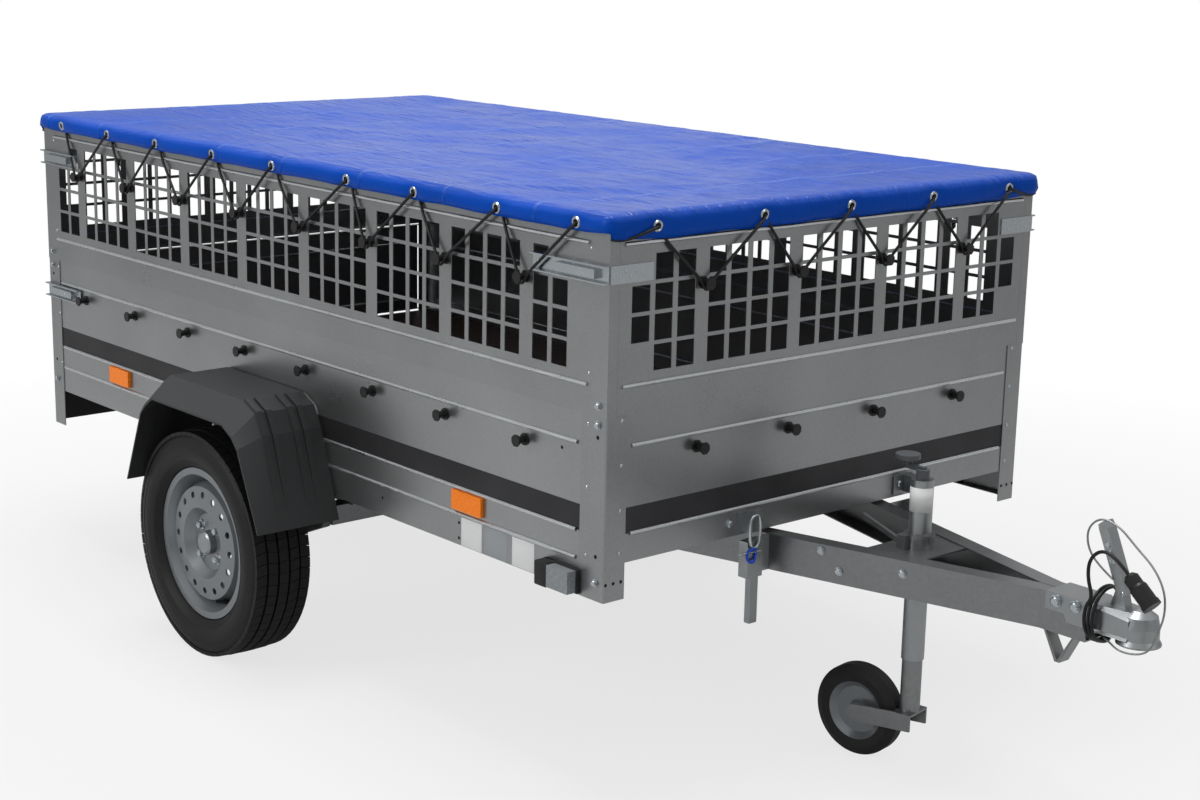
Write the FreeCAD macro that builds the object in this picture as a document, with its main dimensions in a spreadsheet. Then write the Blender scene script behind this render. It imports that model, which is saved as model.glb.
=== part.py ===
import FreeCAD
import Part
import Sketcher

import math
import os
import re

# Utility trailer with a sheet-steel box, mesh side extensions, a laced cover,
# a tilting drawbar, a jockey wheel and a ball coupling.
# X points forward to the coupling, Y to the left, Z up from the ground.
# Millimetres.  The origin lies on the ground, midway along the whole trailer.

Vector = FreeCAD.Vector
doc = FreeCAD.newDocument("utility_trailer")

# Driving dimensions

SIZES = {
    # load box
    "origin_ahead": 403.0,
    "box_length": 2350.0,
    "box_width": 1284.0,
    "box_top": 798.0,
    "panel_foot": 430.0,
    "front_panel_foot": 498.0,
    "panel_sheet": 2.0,
    "panel_flange": 22.0,
    "bead_tall": 9.0,
    "bead_depth": 4.0,
    "bead_upper": 736.0,
    "bead_middle": 557.0,
    "bead_lower": 499.0,
    "bead_margin": 12.0,
    "seam_gap": 0.3,
    "floor_foot": 508.0,
    "floor_thickness": 12.0,
    "floor_bearer_width": 60.0,
    "floor_bearer_foot": 496.0,
    "bearer_share_rear": 0.38,
    "bearer_share_middle": 0.17,
    "bearer_share_front": 0.21,
    "bearer_share_nose": 0.45,
    # corner posts
    "post_sheet": 2.0,
    "post_corner_cut": 2.5,
    "front_post_foot": 424.0,
    "front_post_side": 75.0,
    "front_post_face": 55.0,
    "rear_post_foot": 331.0,
    "rear_post_side": 60.0,
    "rear_post_face": 28.0,
    # tailgate and its hinge
    "tailgate_foot": 524.0,
    "tailgate_gap": 5.0,
    "hinge_radius": 7.0,
    "hinge_pin_radius": 3.5,
    "hinge_pin_clearance": 0.1,
    "hinge_height": 512.0,
    "hinge_length": 36.0,
    "hinge_spread": 400.0,
    "hinge_side_gap": 1.0,
    "sill_foot": 436.0,
    "sill_depth": 40.0,
    "sill_margin": 3.0,
    # mesh extensions
    "mesh_top": 1190.0,
    "mesh_return": 25.0,
    "mesh_flange": 20.0,
    "hole_wide": 47.4,
    "hole_tall": 52.3,
    "hole_bar": 13.0,
    "hole_rung": 7.8,
    "hole_foot": 880.0,
    "side_group_pitch": 270.0,
    "side_group_centre": -22.0,
    "end_group_pitch": 265.0,
    "mesh_bead": 857.0,
    "mesh_top_bead": 1136.0,
    # lacing knobs
    "knob_radius": 13.0,
    "knob_waist": 7.5,
    "knob_length": 26.0,
    "knob_rim": 4.0,
    "half_turn": 180.0,
    "knob_upper": 1043.0,
    "knob_lower": 708.0,
    # cover
    "cover_overhang": 8.0,
    "cover_thickness": 4.0,
    "cover_foot": 1146.0,
    "cover_top": 1203.0,
    # corner latches
    "latch_height": 36.0,
    "latch_length_rear": 185.0,
    "latch_length_front": 228.0,
    "latch_depth": 14.0,
    "latch_upper": 1079.0,
    "latch_lower": 713.0,
    "latch_wrap": 110.0,
    "latch_sheet": 3.0,
    "latch_toggle": 18.0,
    "latch_toggle_start": 30.0,
    "latch_toggle_length": 120.0,
    # fender
    "fender_wall": 4.0,
    "fender_top": 655.0,
    "fender_edge_drop": 47.0,
    "fender_edge_width": 60.0,
    "fender_edge_inset": 10.0,
    "fender_width": 219.0,
    "fender_rear_foot": -352.0,
    "fender_rear_knee": -285.0,
    "fender_rear_crown": -228.0,
    "fender_rear_turn": -262.0,
    "fender_front_turn": 152.0,
    "fender_turn": 634.0,
    "fender_front_crown": 104.0,
    "fender_front_knee": 180.0,
    "fender_front_foot": 252.0,
    "fender_foot": 380.0,
    "fender_knee": 585.0,
    "fender_rib": 5.0,
    "fender_rib_width": 14.0,
    "fender_rib_start": 36.0,
    "fender_rib_step": 26.0,
    "fender_rib_group": 82.0,
    "fender_rib_foot": 425.0,
    "fender_rib_ahead": 232.0,
    # wheels
    "wheel_x": -77.0,
    "wheel_radius": 273.5,
    "wheel_track": 1516.0,
    "tyre_width": 155.0,
    "tyre_shoulder": 17.0,
    "wall_share": 0.55,
    "tyre_bead_radius": 171.0,
    "tyre_bead_width": 88.0,
    "rim_flange_radius": 182.5,
    "rim_width": 114.0,
    "rim_well_radius": 146.0,
    "well_share": 0.3,
    "rim_sheet": 4.0,
    "rim_offset": 30.0,
    "disc_ridge": 22.0,
    "disc_ridge_radius": 88.0,
    "disc_slope": 16.0,
    "disc_foot": 14.0,
    "vent_count": 16.0,
    "vent_circle": 118.0,
    "vent_wide": 17.0,
    "hub_radius": 68.0,
    "hub_bore_radius": 29.0,
    "hub_cap_radius": 28.0,
    "hub_length": 62.0,
    "hub_barrel_radius": 41.0,
    "hub_flange": 12.0,
    "hub_cap_rise": 24.0,
    "hub_cap_edge": 4.0,
    "hub_cap_wall": 4.0,
    "bearing_clearance": 0.1,
    # torsion axle
    "axle_ahead": 150.0,
    "axle_height": 337.0,
    "axle_tube": 46.0,
    "axle_half_length": 560.0,
    "arm_thickness": 24.0,
    "arm_end_radius": 30.0,
    "stub_radius": 15.0,
    # drawbar
    "drawbar_top": 490.0,
    "drawbar_foot": 412.0,
    "drawbar_sheet": 3.0,
    "drawbar_flange": 40.0,
    "drawbar_angle": 15.0,
    "drawbar_nose": 35.0,
    "drawbar_bend": 1770.0,
    "drawbar_tip": 1880.0,
    "drawbar_gap": 2.0,
    "pivot_height": 446.0,
    "pivot_pin_radius": 8.0,
    "pivot_eye_radius": 20.0,
    "pivot_eye_length": 80.0,
    "pivot_side_gap": 0.5,
    "pivot_clearance": 0.1,
    "hanger_sheet": 5.0,
    "hanger_width": 90.0,
    "plate_sheet": 4.0,
    "plate_rear": 1372.0,
    "plate_front": 1500.0,
    # coupling
    "coupling_nose": 2013.0,
    "coupling_lap": 95.0,
    "coupling_wall": 3.0,
    "coupling_height": 52.0,
    "coupling_step": 16.0,
    "coupling_step_length": 44.0,
    "coupling_head_radius": 38.0,
    "coupling_lip": 5.0,
    "coupling_lip_height": 12.0,
    "coupling_mouth": 430.0,
    "dome_rise": 8.0,
    "dome_shoulder": 14.0,
    "dome_crown_radius": 18.0,
    "dome_shoulder_radius": 33.0,
    "bracket_length": 34.0,
    "bracket_rise": 30.0,
    "handle_width": 28.0,
    "handle_sheet": 3.0,
    "handle_depth": 20.0,
    "handle_foot_ahead": 1931.0,
    "handle_foot_rise": 512.0,
    "handle_tip_ahead": 1878.0,
    "handle_tip_rise": 632.0,
    # electric cable and plug
    "cable_radius": 3.5,
    "loop_radius": 58.5,
    "loop_height": 468.0,
    "loop_ahead": 1906.0,
    "loop_pitch": 9.0,
    "plug_x": 1982.0,
    "plug_y": -60.0,
    "plug_z": 578.5,
    "plug_slope": 40.6,
    "plug_length": 74.0,
    "plug_ring_start": 7.0,
    "plug_ring_end": 25.0,
    "plug_body_start": 30.0,
    "plug_cap_start": 64.0,
    "plug_neck_radius": 9.0,
    "plug_ring_radius": 15.0,
    "plug_radius": 17.5,
    "plug_cap_radius": 19.0,
    # safety wire
    "wire_radius": 2.0,
    "strap_length": 80.0,
    "strap_inset": 35.0,
    "strap_drop": 66.0,
    "strap_sheet": 4.0,
    "strap_flat": 12.0,
    "strap_foot_sheet": 4.8,
    "strap_width": 30.0,
    "ball_radius": 25.0,
    "ball_height": 452.0,
    # jockey wheel
    "jockey_x": 1432.0,
    "jockey_outer_radius": 24.0,
    "jockey_outer_foot": 243.0,
    "jockey_outer_top": 632.0,
    "jockey_wall": 2.5,
    "jockey_slip": 0.5,
    "jockey_trail": 120.0,
    "jockey_radius": 100.0,
    "jockey_width": 50.0,
    "jockey_rim_radius": 64.0,
    "jockey_hub_radius": 15.0,
    "jockey_dish_radius": 21.0,
    "jockey_dish_edge": 51.0,
    "jockey_dish_share": 0.4,
    "jockey_bead_share": 0.9,
    "jockey_wall_share": 0.5,
    "jockey_tread_share": 0.55,
    "jockey_leg_foot": 128.0,
    "fork_sheet": 5.0,
    "fork_gap": 6.0,
    "fork_height": 36.0,
    "jockey_axle_radius": 6.0,
    "jockey_swivel": 190.0,
    "jockey_overlap": 60.0,
    "clamp_wall": 8.0,
    "clamp_height": 30.0,
    "clamp_block": 22.0,
    "clamp_reach": 120.0,
    "lever_sheet": 8.0,
    "lever_low": 10.0,
    "lever_high": 21.0,
    "lever_end_low": 39.0,
    "lever_end_high": 51.0,
    "crank_rise": 20.0,
    "crank_post_radius": 14.0,
    "crank_reach": 42.0,
    "crank_bar": 10.0,
    "crank_knob_radius": 26.0,
    # tilt latches
    "tilt_gap": 8.0,
    "tilt_sheet": 4.0,
    "tilt_latch_out": 254.0,
    "tilt_latch_width": 44.0,
    "tilt_latch_depth": 22.0,
    "tilt_lever": 100.0,
    "tilt_lever_inset": 7.0,
    "tilt_ring_half": 13.0,
    "tilt_keeper_foot": 504.0,
    "tilt_keeper_height": 42.0,
    # lamps and reflectors
    "lamp_bar_foot": 346.0,
    "lamp_bar_height": 80.0,
    "lamp_bar_depth": 40.0,
    "rear_lamp_width": 210.0,
    "rear_lamp_depth": 34.0,
    "reflector_height": 530.0,
    "reflector_tall": 42.0,
    "reflector_length": 102.0,
    "reflector_depth": 8.0,
    "reflector_front": 736.0,
    "reflector_rear": -784.0,
    "marker_x": 1050.0,
    "marker_height": 452.0,
    "marker_length": 100.0,
    "marker_tall": 46.0,
    "marker_depth": 30.0,
}

# Places that follow from the sizes, written as formulas

DERIVED = {
    "jockey_leg_radius": "(jockey_outer_radius - jockey_wall - bearing_clearance)",
    "pivot_spread": "(drawbar_nose + tan(drawbar_angle) * (drawbar_bend - wheel_x - axle_ahead)"
    " - drawbar_flange / 2)",
    "column_step": "(hole_wide + hole_bar)",
    "row_step": "(hole_tall + hole_rung)",
    "end_group_bar": "(end_group_pitch - 4 * hole_wide - 3 * hole_bar)",
    "group_bar": "(side_group_pitch - 4 * hole_wide - 3 * hole_bar)",
}

sheet = doc.addObject("Spreadsheet::Sheet", "sizes")
for row, (alias, value) in enumerate(SIZES.items(), start=1):
    sheet.set(f"A{row}", alias)
    sheet.set(f"B{row}", str(value))
    sheet.setAlias(f"B{row}", alias)
doc.recompute()

NODES = []


def formula(text):
    """A formula in the names of the sheet, as the document reads it."""
    for name, meaning in DERIVED.items():
        text = re.sub(rf"\b{name}\b", meaning, text)
    return re.sub(
        r"[a-z][a-z_]+",
        lambda word: "sizes." + word.group(0) if word.group(0) in SIZES else word.group(0),
        text,
    )


def bind(thing, **formulas):
    """Ties properties of a feature to formulas."""
    for name, text in formulas.items():
        thing.setExpression(name, formula(text))


def place(thing, x="0", y="0", z="0"):
    """Puts a sub-part at a point given from the middle of the load box."""
    thing.setExpression(".Placement.Base.x", formula(f"({x}) - origin_ahead"))
    thing.setExpression(".Placement.Base.y", formula(y))
    thing.setExpression(".Placement.Base.z", formula(z))


def new_body(name, x="0", y="0", z="0"):
    body = doc.addObject("PartDesign::Body", name)
    body.Label = name
    place(body, x, y, z)
    NODES.append(body)
    return body


def origin_item(body, role):
    """One of the body's own origin planes or axes."""
    return [item for item in body.Origin.OriginFeatures if item.Role == role][0]


def sketch_on(body, plane, away="0"):
    """An empty sketch on one of the body's own origin planes, moved along its normal."""
    sketch = body.newObject("Sketcher::SketchObject", "sketch")
    sketch.AttachmentSupport = [(origin_item(body, plane + "_Plane"), "")]
    sketch.MapMode = "FlatFace"
    sketch.setExpression("AttachmentOffset.Base.z", formula(away))
    return sketch


def tie_points(sketch, links, ties):
    """Adds all of a sketch's constraints at once and ties the sizes among them to formulas."""
    sized = [Sketcher.Constraint(kind, *where, 1.0) for kind, where, text in ties]
    start = sketch.ConstraintCount
    sketch.addConstraint(links + sized)
    for number, (kind, where, text) in enumerate(ties, start=start + len(links)):
        sketch.setExpression(f"Constraints[{number}]", formula(text))


def outline(body, plane, loops, away="0"):
    """Closed outlines of straight lines, each corner placed by two formulas."""
    sketch = sketch_on(body, plane, away)
    lines = []
    links = []
    ties = []
    for corners in loops:
        count = len(corners)
        first = len(lines)
        turns = [2 * math.pi * step / count for step in range(count + 1)]
        ring = [Vector(math.cos(turn), math.sin(turn), 0) for turn in turns]
        lines += [Part.LineSegment(start, end) for start, end in zip(ring, ring[1:])]
        for step, (across, along) in enumerate(corners):
            follower = first + (step + 1) % count
            links.append(Sketcher.Constraint("Coincident", first + step, 2, follower, 1))
            ties.append(("DistanceX", (-1, 1, first + step, 1), across))
            ties.append(("DistanceY", (-1, 1, first + step, 1), along))
    sketch.addGeometry(lines, False)
    tie_points(sketch, links, ties)
    return sketch


def circles(body, plane, rounds, away="0"):
    """Circles given by centre formulas and a radius formula."""
    sketch = sketch_on(body, plane, away)
    sketch.addGeometry([Part.Circle(Vector(0, 0, 0), Vector(0, 0, 1), 1.0) for item in rounds], False)
    ties = []
    for number, (across, along, radius) in enumerate(rounds):
        ties.append(("DistanceX", (-1, 1, number, 3), across))
        ties.append(("DistanceY", (-1, 1, number, 3), along))
        ties.append(("Radius", (number,), radius))
    tie_points(sketch, [], ties)
    return sketch


def pad(body, sketch, length, side="One side", backwards=False):
    feature = body.newObject("PartDesign::Pad", "pad")
    feature.Refine = False
    feature.Profile = sketch
    feature.SideType = side
    feature.Reversed = backwards
    bind(feature, Length=length)
    return feature


def pocket(body, sketch, length, side="One side", backwards=False):
    feature = body.newObject("PartDesign::Pocket", "pocket")
    feature.Refine = False
    feature.Profile = sketch
    feature.SideType = side
    feature.Reversed = backwards
    bind(feature, Length=length)
    return feature


def turned(body, sketch, axis="H_Axis"):
    """A full revolution about one of the sketch's own axes."""
    feature = body.newObject("PartDesign::Revolution", "turned")
    feature.Profile = sketch
    feature.ReferenceAxis = (sketch, [axis])
    feature.Angle = 360.0
    return feature


def rectangle(low_u, low_v, high_u, high_v):
    return [(low_u, low_v), (high_u, low_v), (high_u, high_v), (low_u, high_v)]


def octagon(across, along, radius):
    """Eight corners about a point, a round rim in few faces."""
    turns = [(corner + 0.5) * 360 / 8 for corner in range(8)]
    return [(f"{across} + {radius} * cos({turn})", f"{along} + {radius} * sin({turn})") for turn in turns]


def grid_of(body, features, rows, mirror=None):
    """Copies features by rows, each (axis, step, count), and mirrors them about a plane if asked."""
    grid = body.newObject("PartDesign::MultiTransform", "grid")
    grid.Originals = features
    grid.Refine = False
    parts = []
    for axis, step, count in rows:
        pattern = body.newObject("PartDesign::LinearPattern", "row")
        pattern.Direction = (origin_item(body, axis + "_Axis"), [""])
        pattern.Mode = "Spacing"
        pattern.Occurrences = count
        bind(pattern, Offset=step)
        parts.append(pattern)
    if mirror:
        pattern = body.newObject("PartDesign::Mirrored", "mirrored")
        pattern.MirrorPlane = (origin_item(body, mirror + "_Plane"), [""])
        parts.append(pattern)
    grid.Transformations = parts
    body.Tip = grid
    return grid


def ring_of(body, feature, axis, count):
    """Copies a feature round an axis of the body's origin."""
    pattern = body.newObject("PartDesign::PolarPattern", "ring")
    pattern.Originals = [feature]
    pattern.Axis = (origin_item(body, axis + "_Axis"), [""])
    pattern.Angle = 360.0
    bind(pattern, Occurrences=count)
    body.Tip = pattern
    return pattern


SIDES = (("right", "-1"), ("left", "1"))
SIDE_GROUPS = 7
END_GROUPS = 3
WINDOW_ROWS = 4
AXLE_X = "(wheel_x + axle_ahead)"


# Load box: side panels, front panel, floor and its bearers


def bead_bar(height, face):
    """The outline of one pressed bead that stands out from a face, seen from its end."""
    return [
        (face("0"), f"{height} - bead_tall / 2"),
        (face("bead_depth"), f"{height} - bead_tall / 4"),
        (face("bead_depth"), f"{height} + bead_tall / 4"),
        (face("0"), f"{height} + bead_tall / 2"),
    ]


def side_panel(side, sign):
    """A folded sheet with a flange along the top and the bottom and three beads."""
    body = new_body(f"side_panel_{side}")
    outer = "(box_width / 2 - post_sheet)"
    inner = "(box_width / 2 - post_sheet - panel_sheet)"
    lip = "(box_width / 2 - post_sheet - panel_flange)"
    corners = [
        (f"{sign} * {outer}", "panel_foot"),
        (f"{sign} * {outer}", "box_top"),
        (f"{sign} * {lip}", "box_top"),
        (f"{sign} * {lip}", "box_top - panel_sheet"),
        (f"{sign} * {inner}", "box_top - panel_sheet"),
        (f"{sign} * {inner}", "panel_foot + panel_sheet"),
        (f"{sign} * {lip}", "panel_foot + panel_sheet"),
        (f"{sign} * {lip}", "panel_foot"),
    ]
    profile = outline(body, "YZ", [corners])
    pad(body, profile, "box_length - 2 * post_sheet", side="Symmetric")
    heights = ("bead_upper", "bead_middle", "bead_lower")
    bars = [bead_bar(height, lambda out: f"{sign} * ({outer} + {out})") for height in heights]
    beads = outline(body, "YZ", bars, "-box_length / 2 + rear_post_side + bead_margin")
    pad(body, beads, "box_length - rear_post_side - front_post_side - 2 * bead_margin")
    return body


def front_panel():
    """The fixed front sheet between the two side panels, with its two beads."""
    body = new_body("front_panel")
    outer = "(box_length / 2 - post_sheet)"
    inner = "(box_length / 2 - post_sheet - panel_sheet)"
    lip = "(box_length / 2 - post_sheet - panel_flange)"
    corners = [
        (outer, "front_panel_foot"),
        (outer, "box_top"),
        (lip, "box_top"),
        (lip, "box_top - panel_sheet"),
        (inner, "box_top - panel_sheet"),
        (inner, "front_panel_foot"),
    ]
    profile = outline(body, "XZ", [corners])
    pad(body, profile, "box_width - 2 * post_sheet - 2 * panel_flange - seam_gap", side="Symmetric")
    heights = ("bead_upper", "bead_middle")
    bars = [bead_bar(height, lambda out: f"{outer} + {out}") for height in heights]
    beads = outline(body, "XZ", bars)
    pad(body, beads, "box_width - 2 * front_post_face - 2 * bead_margin", side="Symmetric")
    ends = [
        rectangle(
            f"{sign} * (box_width / 2 - post_sheet - panel_flange)",
            "front_panel_foot",
            f"{sign} * (box_width / 2 - post_sheet - panel_sheet)",
            "box_top - panel_sheet",
        )
        for name, sign in SIDES
    ]
    webs = outline(body, "YZ", ends, outer)
    pad(body, webs, "panel_sheet", backwards=True)
    return body


def floor():
    """The plywood floor between the panels."""
    body = new_body("floor", z="floor_foot")
    half = "(box_width / 2 - post_sheet - panel_sheet - seam_gap)"
    front = "box_length / 2 - post_sheet - panel_sheet - seam_gap"
    board = outline(body, "XY", [rectangle("-box_length / 2 + panel_flange", f"-{half}", front, half)])
    pad(body, board, "floor_thickness")
    return body


def floor_bearers():
    """Flat cross bearers that carry the floor between the side panels."""
    body = new_body("floor_bearers", z="floor_bearer_foot")
    half = "(box_width / 2 - post_sheet - panel_sheet)"
    middles = (
        "-box_length * bearer_share_rear",
        "-box_length * bearer_share_middle",
        AXLE_X,
        "box_length * bearer_share_front",
        "box_length * bearer_share_nose",
    )
    strips = [
        rectangle(
            f"{middle} - floor_bearer_width / 2",
            f"-{half}",
            f"{middle} + floor_bearer_width / 2",
            half,
        )
        for middle in middles
    ]
    pad(body, outline(body, "XY", strips), "floor_foot - floor_bearer_foot")
    return body


def corner_posts(name, end, foot, along, across):
    """A pair of angle posts that wrap the corners of the box."""
    body = new_body(name)
    loops = []
    for side, sign in SIDES:
        loops.append(
            [
                (f"{end} * box_length / 2", f"{sign} * (box_width / 2 - post_corner_cut)"),
                (f"{end} * (box_length / 2 - post_corner_cut)", f"{sign} * box_width / 2"),
                (f"{end} * (box_length / 2 - {along})", f"{sign} * box_width / 2"),
                (f"{end} * (box_length / 2 - {along})", f"{sign} * (box_width / 2 - post_sheet)"),
                (f"{end} * (box_length / 2 - post_sheet)", f"{sign} * (box_width / 2 - post_sheet)"),
                (f"{end} * (box_length / 2 - post_sheet)", f"{sign} * (box_width / 2 - {across})"),
                (f"{end} * box_length / 2", f"{sign} * (box_width / 2 - {across})"),
            ]
        )
    pad(body, outline(body, "XY", loops, foot), f"box_top - {foot}")
    return body


HINGE_X = "(-box_length / 2 - hinge_radius)"


def tailgate():
    """The hinged tailgate between the rear posts, with the knuckles that wrap the hinge pins."""
    body = new_body("tailgate")
    half = "(box_width / 2 - rear_post_face - tailgate_gap)"
    lip = "(-box_length / 2 + panel_flange - tailgate_gap)"
    top = "(box_top - tailgate_gap)"
    corners = [
        ("-box_length / 2", "tailgate_foot"),
        (lip, "tailgate_foot"),
        (lip, "tailgate_foot + panel_sheet"),
        ("-box_length / 2 + panel_sheet", "tailgate_foot + panel_sheet"),
        ("-box_length / 2 + panel_sheet", f"{top} - panel_sheet"),
        (lip, f"{top} - panel_sheet"),
        (lip, top),
        ("-box_length / 2", top),
    ]
    pad(body, outline(body, "XZ", [corners]), f"2 * {half}", side="Symmetric")
    heights = ("bead_upper", "bead_middle")
    bars = [bead_bar(height, lambda out: f"-box_length / 2 - {out}") for height in heights]
    pad(body, outline(body, "XZ", bars), f"2 * ({half} - bead_margin)", side="Symmetric")
    for side, sign in SIDES:
        start = f"-({sign}) * hinge_spread - hinge_length / 2"
        pad(body, circles(body, "XZ", [(HINGE_X, "hinge_height", "hinge_radius")], start), "hinge_length")
        leaf = rectangle(
            f"{HINGE_X} - hinge_radius",
            "hinge_height",
            "-box_length / 2",
            "bead_middle - bead_tall",
        )
        pad(body, outline(body, "XZ", [leaf], start), "hinge_length")
    bore = circles(body, "XZ", [(HINGE_X, "hinge_height", "hinge_pin_radius + hinge_pin_clearance")])
    pocket(body, bore, "box_width", side="Symmetric")
    return body


# Mesh extensions


MESH_BEADS = ("mesh_bead", "mesh_top_bead")


def windows(body, plane, columns, foot, away, rows):
    """Square windows punched through a sheet: a few columns side by side, copied in rows."""
    holes = [rectangle(start, foot, f"{start} + hole_wide", f"{foot} + hole_tall") for start in columns]
    cut = pocket(body, outline(body, plane, holes, away), "2 * panel_sheet", side="Symmetric")
    grid_of(body, [cut], rows)


def four_columns(middle):
    """The left edges of four windows about a middle line."""
    return [f"({middle} + {number - 2} * column_step + hole_bar / 2)" for number in range(4)]


def mesh_side(side, sign):
    """A tall sheet with punched windows, folded round both corners of the box."""
    body = new_body(f"mesh_side_{side}")
    outer = f"{sign} * box_width / 2"
    inner = f"{sign} * (box_width / 2 - panel_sheet)"
    lip = f"{sign} * (box_width / 2 - mesh_flange)"
    corners = [
        (outer, "box_top"),
        (outer, "mesh_top"),
        (lip, "mesh_top"),
        (lip, "mesh_top - panel_sheet"),
        (inner, "mesh_top - panel_sheet"),
        (inner, "box_top + panel_sheet"),
        (lip, "box_top + panel_sheet"),
        (lip, "box_top"),
    ]
    pad(body, outline(body, "YZ", [corners]), "box_length", side="Symmetric")
    returns = [
        rectangle(
            f"{end} * (box_length / 2 - panel_sheet)",
            f"{sign} * (box_width / 2 - mesh_return)",
            f"{end} * box_length / 2",
            f"{sign} * (box_width / 2 - panel_sheet)",
        )
        for end in ("-1", "1")
    ]
    pad(body, outline(body, "XY", returns, "box_top"), "mesh_top - box_top")
    bars = [bead_bar(height, lambda out: f"{sign} * (box_width / 2 + {out})") for height in MESH_BEADS]
    beads = outline(body, "YZ", bars)
    pad(body, beads, "box_length - 2 * rear_post_side", side="Symmetric")
    face = f"-({sign}) * box_width / 2"
    first = f"side_group_centre - {(SIDE_GROUPS - 1) / 2} * side_group_pitch"
    groups = [("X", "side_group_pitch", SIDE_GROUPS), ("Z", "row_step", WINDOW_ROWS)]
    inner_columns = []
    outer_columns = []
    for end in (-1, 1):
        edge = f"({SIDE_GROUPS / 2} * side_group_pitch + group_bar / 2 + hole_wide / 2)"
        near = f"(side_group_centre + {end} * {edge})"
        inner_columns.append(f"({near} - hole_wide / 2)")
        outer_columns.append(f"({near} + {end} * column_step - hole_wide / 2)")
    windows(body, "XZ", outer_columns, "hole_foot", face, [("Z", "row_step", WINDOW_ROWS - 1)])
    windows(body, "XZ", inner_columns, "hole_foot", face, [("Z", "row_step", WINDOW_ROWS)])
    windows(body, "XZ", four_columns(first), "hole_foot", face, groups)
    return body


def mesh_end(name, end):
    """The mesh gate between the two mesh sides, front or rear."""
    body = new_body(name)
    half = "(box_width / 2 - mesh_return - seam_gap)"
    outer = f"{end} * box_length / 2"
    inner = f"{end} * (box_length / 2 - panel_sheet)"
    lip = f"{end} * (box_length / 2 - mesh_flange)"
    corners = [
        (outer, "box_top + seam_gap"),
        (outer, "mesh_top"),
        (lip, "mesh_top"),
        (lip, "mesh_top - panel_sheet"),
        (inner, "mesh_top - panel_sheet"),
        (inner, "box_top + seam_gap + panel_sheet"),
        (lip, "box_top + seam_gap + panel_sheet"),
        (lip, "box_top + seam_gap"),
    ]
    pad(body, outline(body, "XZ", [corners]), f"2 * {half}", side="Symmetric")
    bars = [bead_bar(height, lambda out: f"{end} * (box_length / 2 + {out})") for height in MESH_BEADS]
    pad(body, outline(body, "XZ", bars), f"2 * ({half} - bead_margin)", side="Symmetric")
    groups = [("Y", "end_group_pitch", END_GROUPS), ("Z", "row_step", WINDOW_ROWS)]
    tall = []
    short = []
    for side, sign in SIDES:
        near = f"({sign} * ({END_GROUPS / 2} * end_group_pitch + end_group_bar / 2 + hole_wide / 2))"
        for number in (0, 1):
            tall.append(f"({near} + {number} * ({sign}) * column_step - hole_wide / 2)")
        short.append(f"({near} + 2 * ({sign}) * column_step - hole_wide / 2)")
    windows(body, "YZ", short, "hole_foot + row_step", outer, [("Z", "row_step", WINDOW_ROWS - 2)])
    windows(body, "YZ", tall, "hole_foot", outer, [("Z", "row_step", WINDOW_ROWS)])
    windows(body, "YZ", four_columns("-end_group_pitch"), "hole_foot", outer, groups)
    return body


# Lacing knobs


def knob_rows(body, plane, first, height, face, row, mirror=None):
    """A row of spools that stand out from a face, and the same row on the far side."""
    steps = (
        ("knob_radius", "0", "knob_rim"),
        ("knob_waist", "knob_rim", "knob_length - 2 * knob_rim"),
        ("knob_radius", "knob_length - knob_rim", "knob_rim"),
    )
    pads = []
    for radius, start, length in steps:
        away = f"{face} + {start}"
        pads.append(pad(body, outline(body, plane, [octagon(first, height, radius)], away), length))
    grid_of(body, pads, [row], mirror)


SIDE_ROW = ("X", "side_group_pitch", SIDE_GROUPS + 1)
END_ROW = ("Y", "end_group_pitch", END_GROUPS + 1)
FIRST_SIDE_KNOB = f"(side_group_centre - {SIDE_GROUPS / 2} * side_group_pitch)"
FIRST_END_KNOB = f"(-{END_GROUPS / 2} * end_group_pitch)"


def lacing_knobs(name, height, sink, far_end):
    """Knobs on both sides and the ends of the box, for the cover's lacing."""
    body = new_body(name)
    front = f"box_length / 2 - {sink}"
    knob_rows(body, "YZ", FIRST_END_KNOB, height, front, END_ROW, "YZ" if far_end else None)
    right = f"box_width / 2 - {sink}"
    knob_rows(body, "XZ", FIRST_SIDE_KNOB, height, right, SIDE_ROW, "XZ")
    return body


def tailgate_knobs():
    """Knobs on the tailgate, which swing with it."""
    body = new_body("tailgate_knobs")
    body.setExpression(".Placement.Rotation.Angle", formula("half_turn"))
    knob_rows(body, "YZ", FIRST_END_KNOB, "knob_lower", "box_length / 2", END_ROW)
    return body


# Cover and its lacing


def cover():
    """The fabric cover: a flat top with a flap all round, open below."""
    body = new_body("cover")
    out_x = "(box_length / 2 + cover_overhang + cover_thickness)"
    out_y = "(box_width / 2 + cover_overhang + cover_thickness)"
    in_x = "(box_length / 2 + cover_overhang)"
    in_y = "(box_width / 2 + cover_overhang)"
    block = outline(body, "XY", [rectangle(f"-{out_x}", f"-{out_y}", out_x, out_y)], "cover_foot")
    pad(body, block, "cover_top - cover_foot")
    hollow = outline(body, "XY", [rectangle(f"-{in_x}", f"-{in_y}", in_x, in_y)], "cover_foot")
    body.Tip = pocket(body, hollow, "mesh_top + seam_gap - cover_foot", backwards=True)
    return body


# Latches at the corners of the mesh and of the tailgate


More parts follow.
